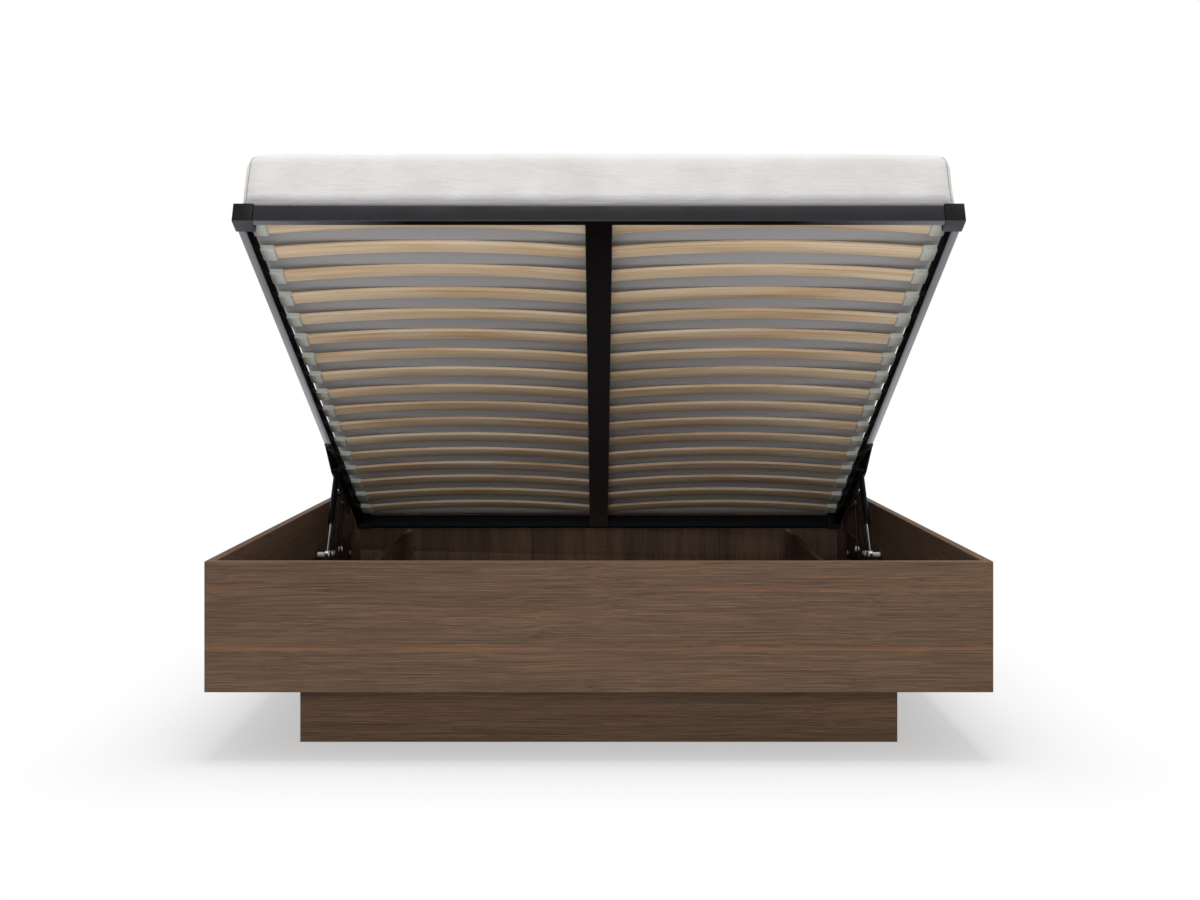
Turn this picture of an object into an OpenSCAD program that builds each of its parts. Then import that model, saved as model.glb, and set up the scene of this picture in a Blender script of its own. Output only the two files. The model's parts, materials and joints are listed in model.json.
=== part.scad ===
// Tatami platform bed with a lift-up slatted base, shown open as in its rest pose.
// Millimetres. Origin on the floor under the middle of the box. +Z is up, +Y points to the head end.

/* [Box] */
// Outside width of the box
box_w = 1660; // [1400:10:2000]
// Outside length of the box
box_l = 2090; // [2060:10:2200]
// Thickness of the four box boards
board_t = 20; // [18:1:25]
// Height of the four box boards
board_h = 275; // [250:5:320]
// Height of the set-back plinth under the box
plinth_h = 145; // [80:5:180]
// Distance from the box's outer faces to the plinth's outer faces
plinth_inset = 170; // [60:5:260]
// Thickness of the plinth boards
plinth_t = 18; // [15:1:22]
// Thickness of the floor panels and the dividers
panel_t = 16; // [12:1:18]
// Width of the rebate in which the box boards sit on the floor panels
rebate = 10; // [6:1:12]
// Clear width of the bay for the lift mechanism, between a side board and its divider
bay_w = 162; // [120:2:240]
// Height of the dividers above the storage floor
divider_h = 109; // [60:1:130]

/* [Slatted base] */
// Gap between the steel frame and a side board
side_gap = 15; // [14:0.5:18]
// Gap between the closed steel frame and the front board
end_gap = 20; // [12:1:30]
// Width of the frame's steel tube
tube_w = 20; // [15:1:25]
// Height of the frame's steel tube
tube_h = 40; // [35:1:45]
// Wall of every steel tube
tube_wall = 1.5; // [1.2:0.1:2]
// Width of the lengthwise centre tube
centre_w = 60; // [50:1:70]
// Height of the lengthwise centre tube
centre_h = 28; // [24:1:29]
// Distance from the frame's end to the middle of the first slat
slat_end = 93; // [70:1:110]
// Width of a slat
slat_w = 46; // [40:1:50]
// Thickness of a slat
slat_t = 8; // [6:1:9]
// Rise of a half slat at its middle
slat_camber = 19; // [10:1:19]
// Length of the plastic holder at each slat end
cap_l = 50; // [49:1:56]

/* [Lift mechanism] */
// Distance from the rear board to the base's lower head edge when open
head_back = 136; // [130:1:160]
// Height of the base's lower head edge above the storage floor when open
head_rise = 127; // [120:1:140]
// Height of the closed base's underside above the storage floor
closed_rise = 163.5; // [155:0.5:175]
// Radius of the four link pivots on each side
pivot_r = 5; // [4:0.5:6]
// Radius of the gas spring studs and rods
rod_r = 4; // [3:0.5:5]
// Radius of the gas cylinders
gas_r = 9; // [9:0.5:11]
// Thickness of the link bars
link_t = 4; // [3:0.5:4]
// Width of the link bars
link_w = 20; // [16:1:21]
// Radial clearance of every running fit
run_fit = 0.05; // [0.03:0.01:0.08]

/* [Mattress] */
// How far the steel frame stands out beyond the mattress on each long side
mattress_side = 0; // [0:1:40]
// How far the steel frame stands out beyond the mattress at each end
mattress_end = 12.5; // [10:0.5:40]
// Height of the mattress at its edge
mattress_h = 132; // [80:2:160]
// Extra height of the mattress in its middle
mattress_crown = 4; // [0:1:12]

/* [Hidden] */
$fn = 48;
eps = 1;              // how far a cutting tool runs past a face
slat_rows = 17;       // rows of slats, each of two half slats
tilt = 25.3;          // angle of the base in the open pose
seat = 0.3;           // gap under a soft or swinging part where it rests
play = 0.2;           // gap between a link and the washers beside it
left = -1;
right = 1;

inner_w = box_w - 2 * board_t;
inner_l = box_l - 2 * board_t;
rim_z = plinth_h + board_h;
floor_z = plinth_h + panel_t;
base_w = inner_w - 2 * side_gap;
base_l = inner_l - 2 * end_gap;
mattress_w = base_w - 2 * mattress_side;
mattress_l = base_l - 2 * mattress_end;
slat_pitch = (base_l - 2 * slat_end) / (slat_rows - 1);
head_y = inner_l / 2 - head_back;
head_z = floor_z + head_rise;
closed_z = floor_z + closed_rise;

// Distances of the box's pivots from the rear board, and their heights above the storage floor.
rear_low_back = 471;
rear_low_rise = 97.8;
front_low_back = 646.4;
front_low_rise = 105.2;
gas_low_back = 845;
gas_low_rise = 126;
// Distances of the base's pivots from its head end, and how far they lie below the frame.
rear_up_back = 314.4;
rear_up_drop = 30.6;
front_up_back = 418.4;
front_up_drop = 34.1;
gas_up_back = 575;
gas_up_drop = 18;

// Pivots on the box as [Y, Z], and on the base as [distance from the head end, height].
rear_ground = [inner_l / 2 - rear_low_back, floor_z + rear_low_rise];
front_ground = [inner_l / 2 - front_low_back, floor_z + front_low_rise];
gas_ground = [inner_l / 2 - gas_low_back, floor_z + gas_low_rise];
rear_upper = [rear_up_back, -rear_up_drop];
front_upper = [front_up_back, -front_up_drop];
gas_upper = [gas_up_back, -gas_up_drop];

// The plastic sleeves round the frame's corners.
sleeve_proud = 4;     // wall on the outer faces
sleeve_skin = 2;      // wall above and below the tubes
sleeve_reach = 44;    // length of each side

// Planes of the mechanism, as distances from the middle of the bed.
plate_t = 3;
wall_x = inner_w / 2;
plate_x = wall_x - plate_t;
rail_x = base_w / 2;
flange_x = rail_x - plate_t;
link_x = rail_x + 4;
gas_x = rail_x - 15;
eye_t = 9;
head_t = 2.6;

// A point given in the base's own frame, seen in the box's frame as [Y, Z].
function on_box(p) = [
    head_y - p[0] * cos(tilt) + p[1] * sin(tilt),
    head_z + p[0] * sin(tilt) + p[1] * cos(tilt)
];
function heading(a, b) = atan2(b[1] - a[1], b[0] - a[0]);
rear_top = on_box(rear_upper);
front_top = on_box(front_upper);
gas_top = on_box(gas_upper);
rear_len = norm(rear_top - rear_ground);
front_len = norm(front_top - front_ground);
gas_len = norm(gas_top - gas_ground);
gas_exposed = 104;    // rod length seen below the cylinder when open

// Places its children in the base's frame: Y runs to the head end from 0, Z up from the underside.
module base_frame() {
    translate([0, head_y, head_z]) rotate([-tilt, 0, 0]) children();
}

// Mirrors its children to the side asked for; they are drawn for the right side.
module on_side(side) {
    mirror([side == left ? 1 : 0, 0, 0]) children();
}

// Draws its children on both sides.
module both_sides() {
    for (side = [left, right]) on_side(side) children();
}

// A block from one corner to the other.
module block(low, high) {
    translate(low) cube(high - low);
}

// A round bar along X between two planes, at [Y, Z].
module bar_x(p, r, x0, x1) {
    translate([x0, p[0], p[1]]) rotate([0, 90, 0]) cylinder(r = r, h = x1 - x0);
}

// A steel tube of rectangular section, open at both ends, along X or Y.
module tube(low, high, axis) {
    wall = [axis == "x" ? -eps : tube_wall, axis == "y" ? -eps : tube_wall, tube_wall];
    difference() {
        block(low, high);
        block(low + wall, high - wall);
    }
}

// --- Box ---------------------------------------------------------------

dowel_r = 4;
dowel_l = 32;
dowel_depth = 12;     // how deep a dowel sits in the front or rear board
dowel_heights = [60, 215];

// The dowels of one corner column, all four corners.
module dowels() {
    for (side = [left, right], end = [-1, 1], h = dowel_heights)
        translate([side * (wall_x + board_t / 2), end * (box_l / 2 - board_t + dowel_depth), plinth_h + h])
            rotate([end * 90, 0, 0]) cylinder(r = dowel_r, h = dowel_l);
}

// The front board; the rear board is the same one turned round.
module cross_board() {
    color("#62503f") difference() {
        block([-box_w / 2, -box_l / 2, plinth_h], [box_w / 2, -box_l / 2 + board_t, rim_z]);
        block([-wall_x - rebate, -box_l / 2 + board_t - rebate, plinth_h - eps],
              [wall_x + rebate, -box_l / 2 + board_t + eps, floor_z]);
        dowels();
    }
}

module front_board() {
    cross_board();
}

module rear_board() {
    rotate([0, 0, 180]) cross_board();
}

// The plate that carries the lower pivots, and its screws.
plate_past_gas = 60;  // the plate past the gas spring's pivot
plate_past_rear = 246;
plate_drop = 3;       // from the gas spring's pivot down to the plate's top edge
plate_h = 50;
screw_edge = 25;      // from a plate end to its first screw
screw_rise = 18;      // from the plate's lower edge to its screws
screw_before = 62.6;  // the middle screws, before and after the front link's pivot
screw_after = 89.4;
plate_y = [gas_ground[0] - plate_past_gas, rear_ground[0] + plate_past_rear];
plate_z = [gas_ground[1] - plate_drop - plate_h, gas_ground[1] - plate_drop];
bracket_bolt_y = [plate_y[0] + screw_edge, front_ground[0] - screw_before,
                  front_ground[0] + screw_after, plate_y[1] - screw_edge];
// The first screw sits low; the others lie on a line that falls towards the head end.
screw_top = 8;        // from the plate's top edge to the second screw
screw_fall = 0.119;
function bracket_bolt_z(y) = y < bracket_bolt_y[1] - eps ? plate_z[0] + screw_rise
    : plate_z[1] - screw_top - screw_fall * (y - bracket_bolt_y[1]);
bolt_r = 3;
bolt_hole_r = 3.4;
bolt_head_r = 6.5;
bolt_depth = 12;      // how deep a screw goes into a side board

// A side board with its dowel holes and screw holes.
module side_board(side) {
    color("#5b4a3b") difference() {
        on_side(side) block([wall_x, -inner_l / 2, plinth_h], [wall_x + board_t, inner_l / 2, rim_z]);
        on_side(side) block([wall_x - eps, -inner_l / 2 - eps, plinth_h - eps],
                            [wall_x + rebate, inner_l / 2 + eps, floor_z]);
        dowels();
        on_side(side) for (y = bracket_bolt_y)
            bar_x([y, bracket_bolt_z(y)], bolt_hole_r, wall_x - eps, wall_x + bolt_depth + eps);
    }
}

module corner_dowels() {
    color("#c9a777") dowels();
}

plinth_x = box_w / 2 - plinth_inset;
plinth_y = box_l / 2 - plinth_inset;

// A plinth board across the foot or head end.
module plinth_cross(end) {
    color("#4e3e34") scale([1, end, 1])
        block([-plinth_x, plinth_y - plinth_t, 0], [plinth_x, plinth_y, plinth_h]);
}

// A plinth board along one side.
module plinth_side(side) {
    color("#4e3e34") on_side(side)
        block([plinth_x - plinth_t, -plinth_y + plinth_t, 0], [plinth_x, plinth_y - plinth_t, plinth_h]);
}

module plinth_brace() {
    color("#4e3e34")
        block([-plinth_x + plinth_t, -plinth_t / 2, 0], [plinth_x - plinth_t, plinth_t / 2, plinth_h]);
}

// Half of the storage floor, from the middle to the foot or head end.
module floor_panel(end) {
    color("#6a5646") scale([1, end, 1])
        block([-wall_x - rebate, 0, plinth_h], [wall_x + rebate, inner_l / 2 + rebate, floor_z]);
}

// A low board that parts the storage space from the bay of the lift mechanism.
module divider(side) {
    color("#6a5646") on_side(side)
        block([wall_x - bay_w - panel_t, -inner_l / 2, floor_z],
              [wall_x - bay_w, inner_l / 2, floor_z + divider_h]);
}

// The ledge inside the front board on which the closed base rests.
module rest_batten() {
    depth = end_gap + 15;
    height = 45;
    half = rail_x + sleeve_proud - sleeve_reach - 5;
    color("#6a5646")
        block([-half, -inner_l / 2, closed_z - seat - height], [half, -inner_l / 2 + depth, closed_z - seat]);
}

// --- Lift mechanism on the box -------------------------------------------

// The steel plate on a side board that carries the lower pivots.
module lower_bracket(side) {
    ear_r = 17;
    color("#1d1e20") on_side(side) difference() {
        translate([plate_x, 0, 0]) rotate([90, 0, 90]) linear_extrude(plate_t) union() {
            polygon([[plate_y[0], plate_z[0]],
                     [plate_y[1], bracket_bolt_z(plate_y[1] - screw_edge) - screw_rise],
                     [plate_y[1], plate_z[1]], [plate_y[0], plate_z[1]]]);
            for (p = [rear_ground, front_ground, gas_ground]) translate(p) circle(r = ear_r);
        }
        for (y = bracket_bolt_y) bar_x([y, bracket_bolt_z(y)], bolt_hole_r, plate_x - eps, wall_x + eps);
        for (p = [rear_ground, front_ground]) bar_x(p, pivot_r, plate_x - eps, wall_x + eps);
    }
}

module lower_bracket_bolts() {
    color("#c8cacc") both_sides() for (y = bracket_bolt_y) {
        bar_x([y, bracket_bolt_z(y)], bolt_r, plate_x, wall_x + bolt_depth);
        bar_x([y, bracket_bolt_z(y)], bolt_head_r, plate_x - 2.4, plate_x);
    }
}

// The fixed pins of the two links: a stub in the plate, a shoulder, the journal and a flat head.
module lower_pivot_pins() {
    color("#c8cacc") both_sides() for (p = [rear_ground, front_ground]) {
        bar_x(p, pivot_r, link_x - link_t - play, wall_x);
        bar_x(p, pivot_r + 3, link_x + link_t + play, plate_x);
        bar_x(p, pivot_r + 4, link_x - play - head_t, link_x - play);
    }
}

// --- Slatted base ----------------------------------------------------------

module rail(side) {
    color("#35373b") base_frame() on_side(side)
        tube([rail_x - tube_w, -base_l, 0], [rail_x, 0, tube_h], "y");
}

module end_beam(y) {
    color("#35373b") base_frame()
        tube([-rail_x + tube_w, y, 0], [rail_x - tube_w, y + tube_w, tube_h], "x");
}

module centre_beam() {
    color("#1b1a19") base_frame()
        tube([-centre_w / 2, -base_l + tube_w, 0], [centre_w / 2, -tube_w, centre_h], "y");
}

// The plastic sleeves that wrap the frame's four corners.
module corner_sleeves() {
    outer = rail_x + sleeve_proud;
    color("#3b3d41") base_frame() both_sides() for (end = [0, 1])
        translate([0, -base_l / 2, 0]) mirror([0, end, 0]) translate([0, base_l / 2, 0]) difference() {
            block([outer - sleeve_reach, -sleeve_reach, -sleeve_skin],
                  [outer, sleeve_proud, tube_h + sleeve_skin]);
            block([rail_x - tube_w, -sleeve_reach - eps, 0], [rail_x, 0, tube_h]);
            block([rail_x - sleeve_reach - eps, -tube_w, 0], [rail_x - tube_w + eps, 0, tube_h]);
        }
}

slat_z = 31;          // underside of a slat at its ends, above the frame's underside
slat_in = 8;          // inner end of a half slat
slat_out = rail_x - tube_w - 8;
function slat_y(row) = -slat_end - row * slat_pitch;
function slat_rise(x) =
    let (t = (x - slat_in) / (slat_out - slat_in)) 4 * slat_camber * t * (1 - t);

// One cambered half slat on the right side; grow adds clearance for the pockets around it.
module half_slat(row, grow = 0) {
    steps = 16;
    span = slat_out - slat_in;
    xs = [for (i = [0:steps]) slat_in - grow + i * (span + 2 * grow) / steps];
    low = [for (x = xs) [x, slat_z + slat_rise(x) - grow]];
    high = [for (i = [steps:-1:0]) [xs[i], slat_z + slat_t + slat_rise(xs[i]) + grow]];
    translate([0, slat_y(row) + slat_w / 2 + grow, 0]) rotate([90, 0, 0])
        linear_extrude(slat_w + 2 * grow) polygon(concat(low, high));
}

module slat_row(row) {
    color("#c6a27c") base_frame() both_sides() half_slat(row);
}

// The plastic pockets on the rails that hold the outer slat ends.
module slat_caps() {
    deep = 33;
    low = slat_z - 2;
    high = slat_z + slat_t + 4;
    edge = 3;
    x1 = rail_x - tube_w;
    x0 = x1 - deep;
    color("#9a9c98") base_frame() both_sides() for (row = [0:slat_rows - 1]) difference() {
        translate([0, slat_y(row) + cap_l / 2, 0]) rotate([90, 0, 0]) linear_extrude(cap_l)
            polygon([[x0, low + edge], [x0 + edge, low], [x1, low], [x1, high], [x0 + edge, high],
                     [x0, high - edge]]);
        half_slat(row, play);
    }
}

// The double pockets on the centre tube that hold the inner slat ends.
module slat_centre_holders() {
    high = 45;
    edge = 4;
    x = centre_w / 2;
    color("#2a2b2d") base_frame() for (row = [0:slat_rows - 1]) difference() {
        translate([0, slat_y(row) + cap_l / 2, 0]) rotate([90, 0, 0]) linear_extrude(cap_l)
            polygon([[-x, centre_h], [x, centre_h], [x, high - edge], [x - edge, high],
                     [edge - x, high], [-x, high - edge]]);
        both_sides() half_slat(row, play);
    }
}

// --- Lift mechanism on the base --------------------------------------------

// The angle under a rail, along the frame from its head end, and its bolts.
angle_past_rear = 89.4;
angle_past_gas = 160;
bolt_in = 11;         // from the rail's outer face to the bolts
bolt_past_front = 39.6;
angle_u = [rear_up_back - angle_past_rear, gas_up_back + angle_past_gas];
upper_bolt_u = [angle_u[0] + screw_edge, front_up_back + bolt_past_front, angle_u[1] - screw_edge];
bolt_x = rail_x - bolt_in;

// The steel angle under a rail: a flange against the tube and a cheek with the upper pivots.
module upper_bracket(side) {
    cheek = 32;
    ear_r = 16;
    color("#1d1e20") base_frame() on_side(side) difference() {
        union() {
            block([rail_x - tube_w, -angle_u[1], -plate_t], [rail_x, -angle_u[0], 0]);
            translate([flange_x, 0, 0]) rotate([90, 0, 90]) linear_extrude(plate_t) union() {
                polygon([[-angle_u[0], 0], [-angle_u[0], -cheek], [-gas_upper[0] - ear_r, -cheek],
                         [-angle_u[1] + 2 * screw_edge, -cheek / 3], [-angle_u[1], 0]]);
                for (p = [rear_upper, front_upper]) translate([-p[0], p[1]]) circle(r = ear_r);
            }
        }
        for (p = [rear_upper, gas_upper])
            bar_x([-p[0], p[1]], p == gas_upper ? rod_r : pivot_r, flange_x - eps, rail_x + eps);
        for (u = upper_bolt_u)
            translate([bolt_x, -u, -plate_t - eps]) cylinder(r = bolt_hole_r, h = plate_t + 2 * eps);
    }
}

// A rail with the holes for its bracket bolts.
module drilled_rail(side) {
    difference() {
        rail(side);
        base_frame() on_side(side) for (u = upper_bolt_u)
            translate([bolt_x, -u, -eps]) cylinder(r = bolt_hole_r, h = tube_wall + 2 * eps);
    }
}

module upper_bracket_bolts() {
    color("#c8cacc") base_frame() both_sides() for (u = upper_bolt_u) {
        translate([bolt_x, -u, -plate_t]) cylinder(r = bolt_r, h = 14);
        translate([bolt_x, -u, -plate_t - 4]) cylinder(r = bolt_head_r, h = 4, $fn = 6);
        translate([bolt_x, -u, tube_wall]) cylinder(r = 5.5, h = 4);
    }
}

// The pins of the rear links and of the gas cylinders, fixed in the cheeks.
module upper_pivot_pins() {
    p = [-rear_upper[0], rear_upper[1]];
    g = [-gas_upper[0], gas_upper[1]];
    color("#c8cacc") base_frame() both_sides() {
        bar_x(p, pivot_r, flange_x, link_x + link_t + play);
        bar_x(p, pivot_r + 3, rail_x, link_x - play);
        bar_x(p, pivot_r + 4, link_x + link_t + play, link_x + link_t + play + head_t);
        bar_x(g, rod_r, gas_x - eye_t / 2 - play, rail_x);
        bar_x(g, rod_r + 3, gas_x + eye_t / 2 + play, flange_x);
        bar_x(g, rod_r + 3, gas_x - eye_t / 2 - play - head_t, gas_x - eye_t / 2 - play);
    }
}

// A flat link bar from a to b with a bore at each end.
module link_bar(a, b) {
    reach = norm(b - a);
    translate([link_x, a[0], a[1]]) rotate([heading(a, b), 0, 0]) difference() {
        rotate([90, 0, 90]) linear_extrude(link_t) union() {
            translate([0, -link_w / 2]) square([reach, link_w]);
            for (y = [0, reach]) translate([y, 0]) circle(r = link_w / 2);
        }
        for (y = [0, reach]) bar_x([y, 0], pivot_r + run_fit, -eps, link_t + eps);
    }
}

module rear_link(side) {
    color("#26272a") on_side(side) link_bar(rear_ground, rear_top);
}

module front_link(side) {
    color("#26272a") on_side(side) link_bar(front_ground, front_top);
}

// The studs at the front links' upper ends; their shoulders bear on the cheeks.
module front_link_studs() {
    color("#c8cacc") both_sides() {
        bar_x(front_top, pivot_r, link_x, link_x + link_t);
        bar_x(front_top, pivot_r + 4, link_x + link_t, link_x + link_t + head_t);
        bar_x(front_top, pivot_r + 3, rail_x + 0.4, link_x);
    }
}

// Places its children on a gas spring's axis: Y from the lower stud up to the upper one.
module gas_axis(side) {
    on_side(side) translate([gas_x, gas_ground[0], gas_ground[1]])
        rotate([heading(gas_ground, gas_top), 0, 0]) children();
}

// A round bar along the gas spring from one distance to another.
module gas_bar(r, y0, y1) {
    translate([0, y0, 0]) rotate([-90, 0, 0]) cylinder(r = r, h = y1 - y0);
}

module gas_cylinder(side) {
    wall = 1.5;
    eye_r = 10;
    color("#17181a") gas_axis(side) difference() {
        union() {
            gas_bar(gas_r, gas_exposed, gas_len - 24);
            gas_bar(5, gas_len - 24 - eps, gas_len);
            bar_x([gas_len, 0], eye_r, -eye_t / 2, eye_t / 2);
        }
        gas_bar(gas_r - wall, gas_exposed + 12, gas_len - 30);
        gas_bar(rod_r + run_fit, gas_exposed - eps, gas_exposed + 12 + eps);
        for (x = [-1, 1]) scale([x, 1, 1])
            block([eye_t / 2, gas_len - 11, -gas_r - eps], [gas_r + eps, gas_len + gas_r, gas_r + eps]);
        bar_x([gas_len, 0], rod_r + run_fit, -gas_r - eps, gas_r + eps);
    }
}

module gas_rod(side) {
    eye_r = 10;
    color("#d2d4d6") gas_axis(side) difference() {
        union() {
            gas_bar(rod_r, eye_r - 3, gas_exposed + 18);
            gas_bar(gas_r - 2, gas_exposed + 14, gas_exposed + 22);
            bar_x([0, 0], eye_r, -eye_t / 2, eye_t / 2);
        }
        bar_x([0, 0], rod_r, -gas_r, gas_r);
    }
}

// The ball-less studs at the rods' lower ends; their shoulders bear on the lower plates.
module gas_rod_studs() {
    color("#c8cacc") both_sides() {
        bar_x(gas_ground, rod_r, gas_x - eye_t / 2, gas_x + eye_t / 2);
        bar_x(gas_ground, rod_r + 3, gas_x + eye_t / 2, plate_x - 0.4);
        bar_x(gas_ground, rod_r + 3, gas_x - eye_t / 2 - head_t, gas_x - eye_t / 2);
    }
}

// --- Mattress ----------------------------------------------------------------

mattress_z = slat_z + slat_camber + slat_t + seat;
mattress_y0 = -(base_l + mattress_l) / 2;
corner_r = 55;
edge_in = 30;         // how far the rounded upper edge draws in
foot_in = 14;         // how far the lower edge draws in
corner_steps = 6;
side_steps = 8;
edge_steps = 6;

// Outline of the mattress drawn in by d, as a list of [x, y] with the same count for every d.
function outline(d) =
    let (r = max(corner_r - d / 2, 8), w = mattress_w / 2 - d, l = mattress_l / 2 - d)
    [for (q = [0:3]) each
        let (
            sx = (q == 0 || q == 3) ? 1 : -1,
            sy = q < 2 ? 1 : -1,
            c = [sx * (w - r), sy * (l - r)],
            along = q % 2 == 0 ? [-2 * sx * (w - r), 0] : [0, -2 * sy * (l - r)],
            arc = [for (i = [0:corner_steps]) c + r * [cos(90 * q + 90 * i / corner_steps),
                                                      sin(90 * q + 90 * i / corner_steps)]]
        )
        concat(arc, [for (i = [1:side_steps - 1]) arc[corner_steps] + along * i / side_steps])
    ];

// Rings from the bottom to the top, as [draw-in, height]; the middle of the top is crowned.
ring_low = [for (i = [0:edge_steps]) let (a = 90 * i / edge_steps)
    [foot_in * (1 - sin(a)), 0.12 * mattress_h * (1 - cos(a))]];
ring_high = [for (i = [0:edge_steps]) let (a = 90 * i / edge_steps)
    [edge_in * (1 - cos(a)), 0.7 * mattress_h + 0.3 * mattress_h * sin(a)]];
ring_top = [for (t = [0.25, 0.6])
    [edge_in + t * (mattress_w / 2 - edge_in), mattress_h + mattress_crown * (1 - (1 - t) ^ 3)]];
rings = concat(ring_low, ring_high, ring_top);

module mattress() {
    n = len(outline(0));
    m = len(rings);
    points = concat(
        [for (r = rings) each [for (p = outline(r[0])) [p[0], p[1], r[1]]]],
        [[0, 0, 0], [0, 0, mattress_h + mattress_crown]]
    );
    faces = concat(
        [for (k = [0:m - 2], i = [0:n - 1]) each
            let (j = (i + 1) % n) [[k * n + i, (k + 1) * n + i, k * n + j],
                                   [k * n + j, (k + 1) * n + i, (k + 1) * n + j]]],
        [for (i = [0:n - 1]) [n * m, i, (i + 1) % n]],
        [for (i = [0:n - 1]) [n * m + 1, (m - 1) * n + (i + 1) % n, (m - 1) * n + i]]
    );
    color("#e4e1dd") base_frame() translate([0, -base_l / 2, mattress_z])
        polyhedron(points = points, faces = faces, convexity = 4);
}

// --- Assembly ------------------------------------------------------------------

front_board();
rear_board();
side_board(left);  // side_board_left
side_board(right);  // side_board_right
corner_dowels();
plinth_cross(-1);  // plinth_front
plinth_cross(1);  // plinth_rear
plinth_side(left);  // plinth_left
plinth_side(right);  // plinth_right
plinth_brace();
floor_panel(-1);  // floor_panel_foot
floor_panel(1);  // floor_panel_head
divider(left);  // divider_left
divider(right);  // divider_right
rest_batten();
lower_bracket(left);  // lower_bracket_left
lower_bracket(right);  // lower_bracket_right
lower_bracket_bolts();
lower_pivot_pins();
drilled_rail(left);  // rail_left
drilled_rail(right);  // rail_right
end_beam(-base_l);  // foot_beam
end_beam(-tube_w);  // head_beam
centre_beam();
corner_sleeves();
slat_row(0);  // slat_row_01
slat_row(1);  // slat_row_02
slat_row(2);  // slat_row_03
slat_row(3);  // slat_row_04
slat_row(4);  // slat_row_05
slat_row(5);  // slat_row_06
slat_row(6);  // slat_row_07
slat_row(7);  // slat_row_08
slat_row(8);  // slat_row_09
slat_row(9);  // slat_row_10
slat_row(10);  // slat_row_11
slat_row(11);  // slat_row_12
slat_row(12);  // slat_row_13
slat_row(13);  // slat_row_14
slat_row(14);  // slat_row_15
slat_row(15);  // slat_row_16
slat_row(16);  // slat_row_17
slat_caps();
slat_centre_holders();
upper_bracket(left);  // upper_bracket_left
upper_bracket(right);  // upper_bracket_right
upper_bracket_bolts();
upper_pivot_pins();
mattress();
rear_link(left);  // rear_link_left
rear_link(right);  // rear_link_right
front_link(left);  // front_link_left
front_link(right);  // front_link_right
front_link_studs();
gas_cylinder(left);  // gas_cylinder_left
gas_cylinder(right);  // gas_cylinder_right
gas_rod(left);  // gas_rod_left
gas_rod(right);  // gas_rod_right
gas_rod_studs();
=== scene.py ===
"""Lift-up platform bed with its slatted base raised, dressed on its CAD frame.

Lengths are metres. +Y runs to the head end, +Z is up and +X is the right side seen from the foot.
"""

from __future__ import annotations

import json
import logging
import math
from dataclasses import dataclass, field
from enum import Enum

import bmesh
import bpy
import numpy as np
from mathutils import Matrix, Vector
from mathutils.bvhtree import BVHTree

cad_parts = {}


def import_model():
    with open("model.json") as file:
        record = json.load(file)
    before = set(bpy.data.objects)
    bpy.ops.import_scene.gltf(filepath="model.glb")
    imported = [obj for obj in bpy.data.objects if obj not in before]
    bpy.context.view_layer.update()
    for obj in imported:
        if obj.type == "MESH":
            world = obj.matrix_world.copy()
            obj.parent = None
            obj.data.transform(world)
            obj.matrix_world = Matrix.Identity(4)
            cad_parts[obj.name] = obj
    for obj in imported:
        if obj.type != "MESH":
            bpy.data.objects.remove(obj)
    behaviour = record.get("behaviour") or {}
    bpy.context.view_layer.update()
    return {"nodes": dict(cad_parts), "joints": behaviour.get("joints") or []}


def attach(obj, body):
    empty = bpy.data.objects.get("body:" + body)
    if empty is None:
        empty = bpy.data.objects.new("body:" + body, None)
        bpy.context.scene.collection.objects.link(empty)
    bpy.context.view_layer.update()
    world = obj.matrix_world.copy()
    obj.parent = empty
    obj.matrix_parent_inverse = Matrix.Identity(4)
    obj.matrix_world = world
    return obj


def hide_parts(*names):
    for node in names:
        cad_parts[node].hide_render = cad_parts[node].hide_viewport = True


LOG = logging.getLogger("platform_bed")
MM = 0.001

Material = bpy.types.Material
Node = bpy.types.Node
Piece = bpy.types.Object
Socket = bpy.types.NodeSocket
Tree = bpy.types.NodeTree


# --- Colour and shader nodes ------------------------------------------------------------


def linear(colour: str) -> tuple[float, float, float, float]:
    """Turns an sRGB hex value into a linear colour.

    Args:
        colour: the value as #rrggbb.

    Returns:
        Red, green, blue and an alpha of 1.
    """
    srgb = np.array([int(colour[i : i + 2], 16) for i in (1, 3, 5)]) / 255.0
    rgb = np.where(srgb <= 0.04045, srgb / 12.92, ((srgb + 0.055) / 1.055) ** 2.4)
    return (float(rgb[0]), float(rgb[1]), float(rgb[2]), 1.0)


def add_node(tree: Tree, kind: str, settings: dict | None = None) -> Node:
    """Adds a shader node with its settings and links.

    Args:
        tree: the node tree.
        kind: the node's type name, without ShaderNode.
        settings: values by property name, or by input name or number. A socket is linked to
            its input, and a node is linked by its first output.

    Returns:
        The new node.
    """
    node = tree.nodes.new(f"ShaderNode{kind}")
    for name, value in (settings or {}).items():
        if isinstance(value, Node):
            value = value.outputs[0]
        if isinstance(value, Socket):
            tree.links.new(value, node.inputs[name])
        elif isinstance(name, str) and hasattr(node, name):
            setattr(node, name, value)
        else:
            node.inputs[name].default_value = value
    return node


def set_ramp(ramp: Node, stops: list[tuple[float, str]]) -> None:
    """Gives a Color Ramp its stops.

    Args:
        ramp: the Color Ramp node.
        stops: pairs of position and sRGB hex colour, in order.
    """
    elements = ramp.color_ramp.elements
    while len(elements) < len(stops):
        elements.new(0.5)
    for element, (position, colour) in zip(elements, stops):
        element.position = position
        element.color = linear(colour)


# --- The raised base's place ------------------------------------------------------------


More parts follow.
